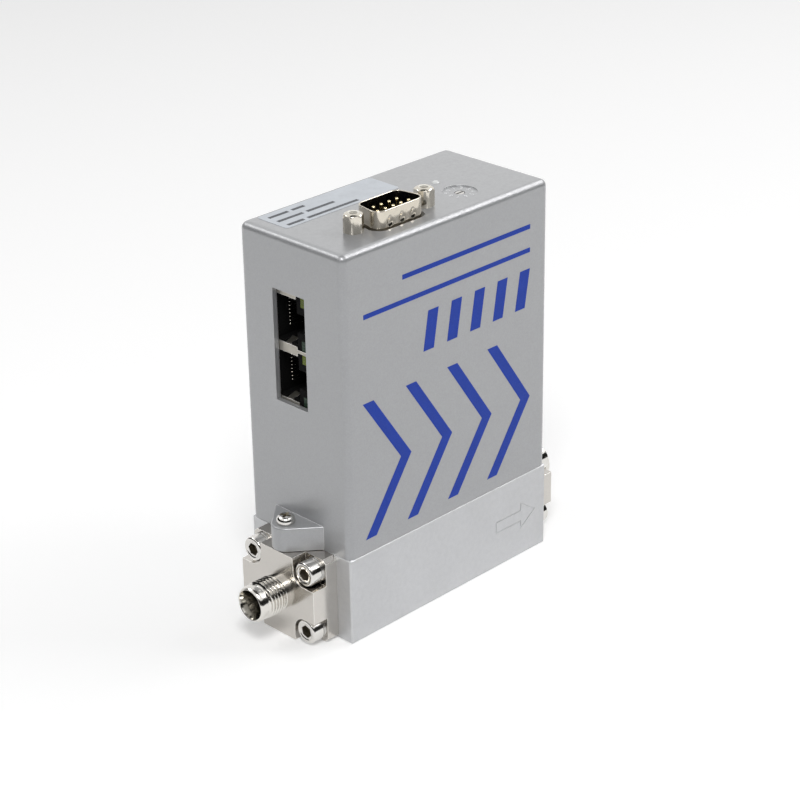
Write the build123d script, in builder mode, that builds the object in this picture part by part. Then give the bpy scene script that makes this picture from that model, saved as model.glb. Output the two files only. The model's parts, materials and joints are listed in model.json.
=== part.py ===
from build123d import *
import math
import os

# Mass flow controller: a machined base block with two flanged tube fittings, a flow sensor and a
# proportional valve on top of it, a stack of circuit boards, and a cast cover that carries a
# nine-pin connector and shows two network sockets, an address switch and a status light.
#
# Frame: millimetres, +X along the flow (inlet at -X), printed front face towards -Y, +Z up,
# origin at the centre of the base block's underside.

os.makedirs("parts", exist_ok=True)

# ---------------------------------------------------------------- driving dimensions
# Fits
seat_clearance = 0.05       # between a piece and the hole or pocket that locates it
pass_clearance = 0.15       # between a screw and the hole it passes through

# Base block
base_length = 75.6
base_width = 37.2
base_height = 24.7
base_edge = 0.3
main_bore_radius = 3.6
outlet_bore_radius = 2.6
bore_overrun = 0.4          # of the flow bores past the small holes that meet them
mount_spacing_x = 50.0      # tapped holes in the underside
mount_spacing_y = 26.0
mount_hole_radius = 1.65
mount_hole_depth = 6.0
arrow_inset = 4.2           # tip of the engraved flow arrow, from the outlet end
arrow_level = 12.3          # above the underside
arrow_length = 16.1
arrow_head_length = 6.0
arrow_head_width = 8.6
arrow_tail_width = 3.6
arrow_line = 0.35
arrow_depth = 0.15

# Flanged tube fittings
flange_width = 27.2
flange_inset = 0.15         # from the top and the underside of the base block
flange_seat = 3.9           # metal under the screw heads
flange_depth = 8.6
flange_corner = 1.1
collar_radius = 4.85
collar_length = 1.1
relief_radius = 4.5
relief_length = 0.5
thread_radius = 5.15
thread_length = 5.5
groove_length = 0.4         # between the thread and the nose
nose_radius = 4.95
nose_length = 2.4
nose_rounding = 1.2
rim_radius = 4.4
mouth_radius = 4.2
mouth_depth = 2.6
tube_radius = 3.2
tube_depth = 12.0
through_radius = 2.0
seal_inner_radius = 3.9
seal_outer_radius = 5.1
seal_thickness = 1.3

# Flange screws and their lock washers
flange_screw_inset_y = 3.8  # from the sides of the flange
flange_screw_inset_z = 3.7  # from its top and underside
flange_screw_radius = 2.0
flange_screw_length = 12.0
flange_head_radius = 3.4
flange_head_height = 3.4
flange_hex = 3.0            # across flats
flange_hex_depth = 2.0
pocket_clearance = 0.3
washer_radius = 3.5
washer_thickness = 0.9
washer_gap = 0.5            # split
washer_sides = 12
tapped_reserve = 2.0        # tapped depth past the end of a screw

# Cover
cover_height = 83.65
cover_wall = 1.5
cover_corner_radius = 2.0
cover_edge_radius = 1.9
rounding_limit = 0.95       # of the corner radius, for the rounding that meets it
lug_height = 6.7
lug_half_width = 10.3
lug_tip_radius = 3.9
lug_reach = 4.8             # screw axis beyond the end face
lug_edge_radius = 0.5
cover_screw_radius = 1.5
cover_screw_length = 10.0
cover_head_radius = 2.5
cover_head_height = 2.1
cover_head_edge = 0.7
cover_head_edge_width = 0.85
cross_width = 0.8
cross_span = 2.9
cross_depth = 1.1

# Front print
print_thickness = 0.05
chevron_count = 4
chevron_pitch = 15.3
chevron_inset = 5.9         # first chevron, from the inlet end
chevron_bottom = 4.0        # above the seam between base and cover
chevron_height = 38.5
chevron_point = 17.0
chevron_stroke = 3.8
bar_inset = 7.3             # from the outlet end
bar_height = 1.3
lower_bar_length = 61.5
lower_bar_level = 65.85     # above the seam
upper_bar_length = 47.7
upper_bar_level = 72.4
block_count = 5
block_pitch = 8.7
block_width = 3.8
block_height = 10.8
block_slant = 1.9
block_level = 49.8          # above the seam

# Blank label
label_length = 40.0
label_width = 11.2
label_corner_radius = 1.0
label_thickness = 0.08
label_inset_x = 4.45        # from the inlet end
label_inset_y = 2.0         # from the back

# Nine-pin connector
connector_inset_x = 26.8    # its middle, from the inlet end
connector_inset_y = 10.4    # from the front
shell_length = 17.8
shell_width = 9.2
shell_taper = 1.62          # each end, from the wide side to the narrow side
shell_corner_radius = 2.6
shell_wall = 0.45
shell_height = 4.8          # above the cover
shell_gap = 0.8             # round the shell, in the cover
shell_flange_overhang = 2.9  # past the jackscrews
shell_flange_width = 12.5
shell_flange_thickness = 0.8
insulator_gap = 0.16        # between the insulator and the nuts
insulator_width = 10.6
insulator_height = 5.8      # below the shell's flange
insulator_rise = 1.0        # above the underside of the cover
pin_radius = 0.5
pin_sides = 8
pin_pitch = 2.76
pin_row_spacing = 2.84
pin_recess = 0.75           # pin tips below the rim of the shell
jackscrew_spacing = 24.99
jackscrew_flats = 4.76
jackscrew_height = 5.1
jackscrew_stud_radius = 1.4
jackscrew_stud_length = 5.5
jackscrew_bore_radius = 1.2
jackscrew_bore_depth = 3.5
jackscrew_edge = 0.35
jackscrew_turns = (34.0, 10.0)  # how far each hexagon was turned when tightened
nut_flats = 4.9
nut_height = 2.2

# Boards
board_thickness = 1.6
connector_board_inset = 4.4  # its front edge, from the front
board_back_space = 7.3      # behind the main board, inside the cover
board_left_space = 1.3
board_right_space = 3.3
board_bottom_level = 9.3    # above the seam
board_step_level = 43.3     # bottom of the wide upper part, above the seam
board_step_space = 17.0     # from the narrow lower part to the valve's axis
header_length = 30.0
header_width = 2.5
bracket_thickness = 1.2
bracket_width = 20.0
bracket_foot = 6.0
bracket_inset = 10.0        # its middle, from the edge of the board's narrow lower part
bracket_height = 24.0
bracket_screw_offset = 3.4  # from the back of the main board
board_screw_radius = 1.25
board_screw_length = 5.0
board_screw_head_radius = 2.2
board_screw_head_height = 1.5
board_screw_rise = 19.3     # above the seam
board_screw_spacing = 14.0
chips = (                   # X, height above the seam, width, height and depth on the main board
    (-24.0, 27.3, 10.0, 10.0, 1.4),
    (-12.5, 28.8, 5.0, 4.0, 1.2),
    (-24.0, 17.8, 7.0, 4.5, 1.2),
    (-5.0, 61.3, 7.0, 7.0, 1.0),
    (-5.0, 48.3, 7.0, 7.0, 1.0),
    (8.0, 55.3, 6.5, 9.0, 2.3),
    (20.0, 55.3, 9.0, 9.0, 4.0),
    (20.0, 66.3, 7.0, 4.0, 2.5),
)

# Network sockets
socket_pitch = 15.5
socket_rise = 52.8          # middle of the pair, above the seam
socket_depth = 20.5
socket_height = 13.9        # out from the board
socket_set_back = 0.1       # behind the inside of the cover
shield_wall = 0.3
shield_plug_opening = 12.9
shield_light_opening = 14.6
socket_edge = 0.6           # beside the openings, away from the board
leaf_width = 2.2            # grounding leaves of the shield
leaf_length = 3.0
leaf_rise = 0.9
leaf_inset = 4.6            # their middle, from the board
window_rise = 53.4          # middle of the window, above the seam
window_height = 30.95
window_width = 11.65
window_inset = 1.3          # from the board
plug_width = 11.8
plug_height = 7.1
plug_inset = 1.0            # from the board
plug_depth = 13.0
latch_width = 5.2
insert_side = 0.35          # insert inside its half of the shield
light_width = 2.7
light_height = 3.0
light_inset = 9.5           # from the board
light_depth = 6.0
light_offset = 5.9          # from the socket's middle
contact_count = 8
contact_pitch = 1.02
contact_width = 0.5
contact_thickness = 0.3
contact_start = 4.3         # behind the socket's face
contact_end = 11.0
contact_rise = 2.4
contact_shift = 0.4         # above the middle of the plug opening

# Address switch and status light
switch_offset = 26.05       # from the connector's middle
switch_inset_y = 10.7       # from the front
switch_body_size = 10.0
switch_body_height = 5.0
switch_hole_radius = 1.4
rotor_radius = 1.2
rotor_top_gap = 0.4         # below the cover's surface
rotor_disc_radius = 2.6
rotor_disc_height = 0.8
rotor_slot_width = 0.5
rotor_slot_depth = 0.6
dial_radius = 4.7
dial_depth = 0.3
light_pipe_offset = 26.7    # from the connector's middle
light_pipe_inset_y = 19.9   # from the front
light_pipe_radius = 1.0
light_pipe_dome = 0.35
status_light_size = 2.4
status_light_height = 1.0

# Flow element and sensor
element_length = 8.8        # between the two sensor passages
element_slit = 0.5
element_slit_pitch = 1.3
element_slits = 4
sensor_inset = 18.0         # its middle, from the inlet end
sensor_length = 20.0
sensor_width = 13.0
sensor_block_height = 6.0
sensor_hole_spacing = 12.0
sensor_hole_radius = 0.8
sensor_gasket_thickness = 0.8
sensor_channel_width = 2.0
sensor_channel_depth = 1.2
sensor_board_thickness = 1.0
sensor_chip_size = 1.7
sensor_chip_height = 0.6
sensor_screw_radius = 1.0
sensor_screw_head_radius = 1.8
sensor_screw_head_height = 1.2
sensor_screw_grip = 4.0     # in the base block
sensor_screw_spacing = 17.0
cable_width = 6.0           # flat cable from the sensor board to the main board
cable_thickness = 0.3
cable_bend = 1.5
cable_start_y = 2.0
cable_rise = 13.8           # its upper end, above the seam

# Proportional valve
valve_inset = 16.8          # its axis, from the outlet end
valve_pocket_radius = 6.1
valve_pocket_depth = 6.7
orifice_radius = 3.2
orifice_height = 2.2
orifice_bore_radius = 1.0
riser_radius = 1.2
sleeve_thread_length = 3.2
sleeve_hex_flats = 16.0
sleeve_hex_height = 3.0
sleeve_radius = 5.2
sleeve_wall = 0.8
plunger_length = 15.0
plunger_clearance = 0.1
plunger_pocket_radius = 2.4
plunger_pocket_depth = 5.0
valve_stroke = 0.5
stroke_reserve = 0.2        # between the plunger and the pole at full lift
seat_disc_radius = 2.0
seat_disc_height = 1.2
seat_disc_proud = 0.4
spring_radius = 1.6
spring_wire = 0.4           # square
spring_turns = 3
coil_size = 21.0
coil_height = 22.0
lead_width = 2.4            # pair of coil leads, lying on the main board
lead_thickness = 1.0
lead_length = 12.0
lead_rise = 12.3            # above the seam
yoke_thickness = 1.6
sleeve_stud_radius = 2.4
valve_nut_flats = 8.0
valve_nut_height = 3.5
stud_reserve = 1.0          # stud beyond the nut

# ---------------------------------------------------------------- derived places
end_face = base_length / 2
front_face = -base_width / 2
port_height = base_height / 2
flange_height = base_height - 2 * flange_inset
flange_screw_spacing_y = flange_width - 2 * flange_screw_inset_y
flange_screw_spacing_z = flange_height - 2 * flange_screw_inset_z
bar_right = end_face - bar_inset
label_centre = (
    label_inset_x + label_length / 2 - end_face,
    base_width / 2 - label_inset_y - label_width / 2,
)
connector_centre = (connector_inset_x - end_face, connector_inset_y - base_width / 2)
shell_flange_length = jackscrew_spacing + 2 * shell_flange_overhang
insulator_length = jackscrew_spacing - 2 * nut_flats / math.sqrt(3) - 2 * insulator_gap
switch_centre = (connector_centre[0] + switch_offset, switch_inset_y - base_width / 2)
light_pipe_centre = (connector_centre[0] + light_pipe_offset, light_pipe_inset_y - base_width / 2)
sensor_x = sensor_inset - end_face
valve_x = end_face - valve_inset
cover_top = base_height + cover_height
cover_inside = cover_top - cover_wall
flange_underside = cover_inside - shell_flange_thickness
board_top = flange_underside - insulator_height
pocket_radius = flange_head_radius + pocket_clearance
head_seat = flange_seat + washer_thickness
lug_screw_x = end_face + lug_reach
connector_board_front = connector_board_inset - base_width / 2
main_board_face = base_width / 2 - cover_wall - board_back_space - board_thickness
main_board_left = cover_wall + board_left_space - end_face
main_board_right = end_face - cover_wall - board_right_space
main_board_bottom = base_height + board_bottom_level
main_board_step = base_height + board_step_level
main_board_step_x = valve_x - board_step_space
bracket_x = main_board_step_x - bracket_inset
board_screw_level = base_height + board_screw_rise
bracket_y = main_board_face + board_thickness
socket_face = cover_wall + socket_set_back - end_face
socket_level = base_height + socket_rise
socket_levels = (socket_level + socket_pitch / 2, socket_level - socket_pitch / 2)
socket_low_y = main_board_face - socket_height
opening_low_y = socket_low_y + socket_edge
plug_high_y = main_board_face - plug_inset
plug_low_y = plug_high_y - plug_height
light_high_y = main_board_face - light_inset
light_low_y = light_high_y - light_height
leaf_y = main_board_face - leaf_inset
window_level = base_height + window_rise
window_high_y = main_board_face - window_inset
window_low_y = window_high_y - window_width
valve_floor = base_height - valve_pocket_depth
orifice_top = valve_floor + orifice_height
riser_x = valve_x - orifice_radius - pass_clearance - riser_radius
element_left = sensor_x - element_length / 2
gasket_top = base_height + sensor_gasket_thickness
block_top = gasket_top + sensor_block_height
screw_top = block_top + sensor_board_thickness
front_plane = Plane(origin=(0, front_face, 0), x_dir=(1, 0, 0), z_dir=(0, -1, 0))


def port_plane(side):
    """Plane on an end face of the base block: x across, y up, z outwards, centred on the port."""
    return Plane(origin=(side * end_face, 0, port_height), x_dir=(0, side, 0), z_dir=(side, 0, 0))


def port_section(side):
    """Plane through a port's axis: x outwards along the axis, y up."""
    return Plane(origin=(side * end_face, 0, port_height), x_dir=(side, 0, 0), z_dir=(0, -side, 0))


# ---------------------------------------------------------------- base block
with BuildPart() as base_block:
    with BuildSketch(Plane.XY):
        Rectangle(base_length, base_width)
    extrude(amount=base_height)
    chamfer(base_block.edges(), base_edge)

    # Flow channels: inlet bore, riser into the valve pocket, seat hole and outlet bore.
    with BuildSketch(port_plane(-1)):
        Circle(main_bore_radius)
    extrude(amount=-(end_face + riser_x + riser_radius + bore_overrun), mode=Mode.SUBTRACT)
    with BuildSketch(port_plane(1)):
        Circle(outlet_bore_radius)
    outlet_start = valve_x - orifice_bore_radius - bore_overrun
    extrude(amount=-(end_face - outlet_start), mode=Mode.SUBTRACT)
    with BuildSketch(Plane.XY.offset(valve_floor)):
        with Locations((valve_x, 0)):
            Circle(valve_pocket_radius)
    extrude(amount=valve_pocket_depth, mode=Mode.SUBTRACT)
    with BuildSketch(Plane.XY.offset(port_height)):
        with Locations((riser_x, 0)):
            Circle(riser_radius)
        with Locations((valve_x, 0)):
            Circle(orifice_bore_radius)
    extrude(amount=valve_floor - port_height, mode=Mode.SUBTRACT)
    with BuildSketch(Plane.XY.offset(port_height)):
        with Locations((sensor_x, 0)):
            with GridLocations(sensor_hole_spacing, 1, 2, 1):
                Circle(sensor_hole_radius)
    extrude(amount=base_height - port_height, mode=Mode.SUBTRACT)

    # Seal glands and tapped holes for the flange screws, in both end faces.
    for side in (-1, 1):
        with BuildSketch(port_plane(side)):
            Circle(seal_outer_radius + seat_clearance)
        extrude(amount=-seal_thickness, mode=Mode.SUBTRACT)
        with BuildSketch(port_plane(side)):
            with GridLocations(flange_screw_spacing_y, flange_screw_spacing_z, 2, 2):
                Circle(flange_screw_radius + seat_clearance)
        extrude(amount=-(flange_screw_length - head_seat + tapped_reserve), mode=Mode.SUBTRACT)

    # Tapped holes in the underside and in the top.
    with BuildSketch(Plane.XY):
        with GridLocations(mount_spacing_x, mount_spacing_y, 2, 2):
            Circle(mount_hole_radius)
    extrude(amount=mount_hole_depth, mode=Mode.SUBTRACT)
    with BuildSketch(Plane.XY.offset(base_height)):
        with Locations((sensor_x, 0)):
            with GridLocations(sensor_screw_spacing, 1, 2, 1):
                Circle(sensor_screw_radius + seat_clearance)
    extrude(amount=-(sensor_screw_grip + tapped_reserve), mode=Mode.SUBTRACT)
    with BuildSketch(Plane.XY.offset(base_height)):
        with Locations((bracket_x, bracket_y + bracket_screw_offset)):
            with GridLocations(board_screw_spacing, 1, 2, 1):
                Circle(board_screw_radius + seat_clearance)
    extrude(amount=-board_screw_length, mode=Mode.SUBTRACT)

    # Engraved outline of the flow arrow.
    with BuildSketch(front_plane) as arrow:
        with Locations((end_face - arrow_inset, arrow_level)):
            Polygon(
                (0, 0),
                (-arrow_head_length, arrow_head_width / 2),
                (-arrow_head_length, arrow_tail_width / 2),
                (-arrow_length, arrow_tail_width / 2),
                (-arrow_length, -arrow_tail_width / 2),
                (-arrow_head_length, -arrow_tail_width / 2),
                (-arrow_head_length, -arrow_head_width / 2),
                align=None,
            )
        offset(amount=-arrow_line, kind=Kind.INTERSECTION, mode=Mode.SUBTRACT)
    extrude(amount=-arrow_depth, mode=Mode.SUBTRACT)
base_block.part.label = "base_block"
export_step(base_block.part, "parts/base_block.step")


# ---------------------------------------------------------------- flanged tube fittings
relief_start = flange_depth + collar_length
thread_start = relief_start + relief_length
groove_start = thread_start + thread_length
nose_start = groove_start + groove_length
nose_end = nose_start + nose_length


def build_fitting(side):
    """A flange block with a threaded tube end, turned and milled from one piece."""
    face = port_plane(side)
    axis = Axis(face.origin, face.z_dir)
    pocket_size = flange_width / 2 - flange_screw_spacing_y / 2 + 2 * pocket_radius
    with BuildPart() as fitting:
        with BuildSketch(face) as block:
            Rectangle(flange_width, flange_height)
            chamfer(block.vertices(), flange_corner)
        extrude(amount=flange_depth)

        # Tube end, turned about the port's axis.
        with BuildSketch(port_section(side)):
            with BuildLine():
                outside = Polyline(
                    (nose_end, rim_radius),
                    (nose_end, 0),
                    (flange_seat, 0),
                    (flange_seat, collar_radius),
                    (relief_start, collar_radius),
                    (relief_start, relief_radius),
                    (thread_start, relief_radius),
                    (thread_start, thread_radius),
                    (groove_start, thread_radius),
                    (groove_start, relief_radius),
                    (nose_start, relief_radius),
                    (nose_start, nose_radius),
                    (nose_end - nose_rounding, nose_radius),
                )
                TangentArc(outside @ 1, outside @ 0, tangent=(1, 0))
            make_face()
        revolve(axis=axis)

        # Coned mouth, tube socket and through bore.
        with BuildSketch(port_section(side)):
            with BuildLine():
                Polyline(
                    (0, 0),
                    (0, through_radius),
                    (nose_end - tube_depth, through_radius),
                    (nose_end - tube_depth, tube_radius),
                    (nose_end - mouth_depth, tube_radius),
                    (nose_end, mouth_radius),
                    (nose_end, 0),
                    close=True,
                )
            make_face()
        revolve(axis=axis, mode=Mode.SUBTRACT)

        # Corner pockets, rounded about the screws and open to the outside, and the screw holes.
        with BuildSketch(face.offset(flange_seat)):
            with GridLocations(
                flange_screw_spacing_y + pocket_size - 2 * pocket_radius,
                flange_screw_spacing_z + pocket_size - 2 * pocket_radius,
                2,
                2,
            ):
                RectangleRounded(pocket_size, pocket_size, pocket_radius)
        extrude(amount=flange_depth - flange_seat, mode=Mode.SUBTRACT)
        with BuildSketch(face):
            with GridLocations(flange_screw_spacing_y, flange_screw_spacing_z, 2, 2):
                Circle(flange_screw_radius + pass_clearance)
        extrude(amount=flange_seat, mode=Mode.SUBTRACT)

        # Tapped hole for the cover screw, in the top of the block.
        with BuildSketch(Plane.XY.offset(port_height + flange_height / 2)):
            with Locations((side * lug_screw_x, 0)):
                Circle(cover_screw_radius + seat_clearance)
        extrude(amount=-(cover_screw_length - lug_height), mode=Mode.SUBTRACT)
    return fitting.part


inlet_fitting = build_fitting(-1)
inlet_fitting.label = "inlet_fitting"
export_step(inlet_fitting, "parts/inlet_fitting.step")

outlet_fitting = build_fitting(1)
outlet_fitting.label = "outlet_fitting"
export_step(outlet_fitting, "parts/outlet_fitting.step")


# ---------------------------------------------------------------- port seals and flange fasteners
# Elastomer rings, squeezed flat in their glands.
with BuildPart() as port_seals:
    for side in (-1, 1):
        with BuildSketch(port_plane(side)):
            Circle(seal_outer_radius)
            Circle(seal_inner_radius, mode=Mode.SUBTRACT)
        extrude(amount=-seal_thickness)
port_seals.part.label = "port_seals"
export_step(port_seals.part, "parts/port_seals.step")

# Split lock washers, one under each screw head, the split turned away from the port.
with BuildPart() as flange_lock_washers:
    for side in (-1, 1):
        with BuildSketch(port_plane(side).offset(flange_seat)):
            with GridLocations(flange_screw_spacing_y, flange_screw_spacing_z, 2, 2):
                RegularPolygon(washer_radius, washer_sides)
                RegularPolygon(
                    flange_screw_radius + pass_clearance,
                    washer_sides,
                    major_radius=False,
                    mode=Mode.SUBTRACT,
                )
                with Locations((0, -washer_radius)):
                    Rectangle(washer_gap, 2 * washer_radius - flange_screw_radius, mode=Mode.SUBTRACT)
        extrude(amount=washer_thickness)
flange_lock_washers.part.label = "flange_lock_washers"
export_step(flange_lock_washers.part, "parts/flange_lock_washers.step")

# Socket-head cap screws.
with BuildPart() as flange_screws:
    for side in (-1, 1):
        head_plane = port_plane(side).offset(head_seat)
        with BuildSketch(head_plane):
            with GridLocations(flange_screw_spacing_y, flange_screw_spacing_z, 2, 2):
                Circle(flange_head_radius)
        extrude(amount=flange_head_height)
        with BuildSketch(head_plane):
            with GridLocations(flange_screw_spacing_y, flange_screw_spacing_z, 2, 2):
                Circle(flange_screw_radius)
        extrude(amount=-flange_screw_length)
        with BuildSketch(head_plane.offset(flange_head_height)):
            with GridLocations(flange_screw_spacing_y, flange_screw_spacing_z, 2, 2):
                RegularPolygon(flange_hex / 2, 6, major_radius=False)
        extrude(amount=-flange_hex_depth, mode=Mode.SUBTRACT)
flange_screws.part.label = "flange_screws"
export_step(flange_screws.part, "parts/flange_screws.step")


# ---------------------------------------------------------------- nine-pin connector outline
def connector_outline(level, margin):
    """The D of the connector's shell, grown by a margin, wide side to the front, at a height."""
    half_length = shell_length / 2
    half_width = shell_width / 2
    with BuildSketch(Plane.XY.offset(level)) as outline:
        with Locations(connector_centre):
            Polygon(
                (-half_length, -half_width),
                (half_length, -half_width),
                (half_length - shell_taper, half_width),
                (shell_taper - half_length, half_width),
                align=None,
            )
        fillet(outline.vertices(), shell_corner_radius)
        offset(amount=margin)
    return outline.sketch


# ---------------------------------------------------------------- cover
with BuildPart() as cover:
    with BuildSketch(Plane.XY.offset(base_height)) as footprint:
        Rectangle(base_length, base_width)
        fillet(footprint.vertices(), cover_corner_radius)
    extrude(amount=cover_height)
    fillet(cover.edges().group_by(Axis.Z)[-1], min(cover_edge_radius, rounding_limit * cover_corner_radius))

    # Screw lugs over the fittings, rounded about the screws.
    for side in (-1, 1):
        with BuildSketch(Plane.XY.offset(base_height)):
            with BuildLine():
                CenterArc((side * lug_screw_x, 0), lug_tip_radius, 0, 360)
                Line(
                    (side * (end_face - cover_wall), -lug_half_width),
                    (side * (end_face - cover_wall), lug_half_width),
                )
            make_hull()
        extrude(amount=lug_height)
    lug_edges = cover.edges().filter_by(
        lambda edge: edge.center().Z > base_height + lug_height - lug_edge_radius
        and abs(edge.center().X) > end_face + lug_edge_radius
    )
    fillet(lug_edges, lug_edge_radius)

    # Hollow inside, and the screw holes.
    with BuildSketch(Plane.XY.offset(base_height)):
        Rectangle(base_length - 2 * cover_wall, base_width - 2 * cover_wall)
    extrude(amount=cover_height - cover_wall, mode=Mode.SUBTRACT)
    with BuildSketch(Plane.XY.offset(base_height)):
        with GridLocations(2 * lug_screw_x, 1, 2, 1):
            Circle(cover_screw_radius + pass_clearance)
    extrude(amount=lug_height, mode=Mode.SUBTRACT)

    # Window for the network sockets, in the inlet end.
    with BuildSketch(Plane(origin=(-end_face, 0, 0), x_dir=(0, -1, 0), z_dir=(-1, 0, 0))):
        with Locations((-(window_low_y + window_high_y) / 2, window_level)):
            Rectangle(window_high_y - window_low_y, window_height)
    extrude(amount=-cover_wall, mode=Mode.SUBTRACT)

    # Openings for the connector, its jackscrews, the light pipe and the address switch.
    extrude(to_extrude=connector_outline(cover_inside, shell_gap), amount=cover_wall, mode=Mode.SUBTRACT)
    with BuildSketch(Plane.XY.offset(cover_inside)):
        with Locations(connector_centre):
            with GridLocations(jackscrew_spacing, 1, 2, 1):
                Circle(jackscrew_stud_radius + pass_clearance)
        with Locations(light_pipe_centre):
            Circle(light_pipe_radius + seat_clearance)
        with Locations(switch_centre):
            Circle(switch_hole_radius)
    extrude(amount=cover_wall, mode=Mode.SUBTRACT)
    with BuildSketch(Plane.XY.offset(cover_top)):
        with Locations(switch_centre):
            Circle(dial_radius)
    extrude(amount=-dial_depth, mode=Mode.SUBTRACT)
cover.part.label = "cover"
export_step(cover.part, "parts/cover.step")

# Pan-head screws with a cross recess, one down through each lug into the fitting below.
with BuildPart() as cover_screws:
    lug_top = Plane.XY.offset(base_height + lug_height)
    with BuildSketch(lug_top):
        with GridLocations(2 * lug_screw_x, 1, 2, 1):
            Circle(cover_head_radius)
    extrude(amount=cover_head_height)
    chamfer(cover_screws.edges().group_by(Axis.Z)[-1], cover_head_edge, cover_head_edge_width)
    with BuildSketch(lug_top):
        with GridLocations(2 * lug_screw_x, 1, 2, 1):
            Circle(cover_screw_radius)
    extrude(amount=-cover_screw_length)
    with BuildSketch(lug_top.offset(cover_head_height)):
        with GridLocations(2 * lug_screw_x, 1, 2, 1):
            Rectangle(cross_span, cross_width)
            Rectangle(cross_width, cross_span)
    extrude(amount=-cross_depth, mode=Mode.SUBTRACT)
cover_screws.part.label = "cover_screws"
export_step(cover_screws.part, "parts/cover_screws.step")


# ---------------------------------------------------------------- front print and label
with BuildPart() as front_chevrons:
    lower = base_height + chevron_bottom
    with BuildSketch(front_plane):
        for index in range(chevron_count):
            with Locations((chevron_inset - end_face + index * chevron_pitch, lower)):
                Polygon(
                    (0, 0),
                    (chevron_stroke, 0),
                    (chevron_point, chevron_height / 2),
                    (chevron_stroke, chevron_height),
                    (0, chevron_height),
                    (chevron_point - chevron_stroke, chevron_height / 2),
                    align=None,
                )
    extrude(amount=print_thickness)
front_chevrons.part.label = "front_chevrons"
export_step(front_chevrons.part, "parts/front_chevrons.step")

# Plain bars and slanted blocks in the rest of the print.
with BuildPart() as front_bars:
    with BuildSketch(front_plane):
        for length, level in (
            (lower_bar_length, lower_bar_level),
            (upper_bar_length, upper_bar_level),
        ):
            with Locations((bar_right - length / 2, base_height + level)):
                Rectangle(length, bar_height)
        for index in range(block_count):
            corner = bar_right - block_slant - block_width - index * block_pitch
            with Locations((corner, base_height + block_level)):
                Polygon(
                    (0, 0),
                    (block_width, 0),
                    (block_width + block_slant, block_height),
                    (block_slant, block_height),
                    align=None,
                )
    extrude(amount=print_thickness)
front_bars.part.label = "front_bars"
export_step(front_bars.part, "parts/front_bars.step")

with BuildPart() as blank_label:
    with BuildSketch(Plane.XY.offset(cover_top)):
        with Locations(label_centre):
            RectangleRounded(label_length, label_width, label_corner_radius)
    extrude(amount=label_thickness)
blank_label.part.label = "blank_label"
export_step(blank_label.part, "parts/blank_label.step")


# ---------------------------------------------------------------- nine-pin connector
def connector_pins(radius):
    """The pattern of nine pins, five at the front and four behind, as polygons of a given radius."""
    with BuildSketch() as pins:
        with Locations(connector_centre):
            with Locations((0, -pin_row_spacing / 2)):
                with GridLocations(pin_pitch, 1, 5, 1):
                    RegularPolygon(radius, pin_sides)
            with Locations((0, pin_row_spacing / 2)):
                with GridLocations(pin_pitch, 1, 4, 1):
                    RegularPolygon(radius, pin_sides)
    return pins.sketch


# Drawn steel shell with its flange, clamped under the cover.
with BuildPart() as connector_shell:
    with BuildSketch(Plane.XY.offset(flange_underside)):
        with Locations(connector_centre):
            RectangleRounded(shell_flange_length, shell_flange_width, shell_corner_radius)
            with GridLocations(jackscrew_spacing, 1, 2, 1):
                Circle(jackscrew_stud_radius + pass_clearance, mode=Mode.SUBTRACT)
    extrude(amount=shell_flange_thickness)
    extrude(
        to_extrude=connector_outline(flange_underside, 0),
        amount=cover_top + shell_height - flange_underside,
    )
    extrude(
        to_extrude=connector_outline(flange_underside, -shell_wall),
        amount=cover_top + shell_height - flange_underside,
        mode=Mode.SUBTRACT,
    )
connector_shell.part.label = "connector_shell"
export_step(connector_shell.part, "parts/connector_shell.step")

with BuildPart() as connector_insulator:
    with BuildSketch(Plane.XY.offset(board_top)):
        with Locations(connector_centre):
            Rectangle(insulator_length, insulator_width)
    extrude(amount=insulator_height)
    extrude(
        to_extrude=connector_outline(flange_underside, -shell_wall - seat_clearance),
        amount=shell_flange_thickness + insulator_rise,
    )
    extrude(
        to_extrude=Plane.XY.offset(board_top) * connector_pins(pin_radius + seat_clearance),
        amount=insulator_height + shell_flange_thickness + insulator_rise,
        mode=Mode.SUBTRACT,
    )
connector_insulator.part.label = "connector_insulator"
export_step(connector_insulator.part, "parts/connector_insulator.step")

with BuildPart() as connector_pin_set:
    extrude(
        to_extrude=Plane.XY.offset(board_top) * connector_pins(pin_radius),
        amount=cover_top + shell_height - pin_recess - board_top,
    )
connector_pin_set.part.label = "connector_pin_set"
export_step(connector_pin_set.part, "parts/connector_pin_set.step")

# Hexagon jackscrews: a tapped post above the cover, a threaded stud through the shell's flange.
with BuildPart() as jackscrews:
    with BuildSketch(Plane.XY.offset(cover_top)):
        for way, turn in zip((-1, 1), jackscrew_turns):
            with Locations((connector_centre[0] + way * jackscrew_spacing / 2, connector_centre[1])):
                RegularPolygon(jackscrew_flats / 2, 6, major_radius=False, rotation=turn)
    extrude(amount=jackscrew_height)
    chamfer(jackscrews.edges().group_by(Axis.Z)[-1], jackscrew_edge)
    with BuildSketch(Plane.XY.offset(cover_top)):
        with Locations(connector_centre):
            with GridLocations(jackscrew_spacing, 1, 2, 1):
                Circle(jackscrew_stud_radius)
    extrude(amount=-jackscrew_stud_length)
    with BuildSketch(Plane.XY.offset(cover_top + jackscrew_height)):
        with Locations(connector_centre):
            with GridLocations(jackscrew_spacing, 1, 2, 1):
                Circle(jackscrew_bore_radius)
    extrude(amount=-jackscrew_bore_depth, mode=Mode.SUBTRACT)
jackscrews.part.label = "jackscrews"
export_step(jackscrews.part, "parts/jackscrews.step")

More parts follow.
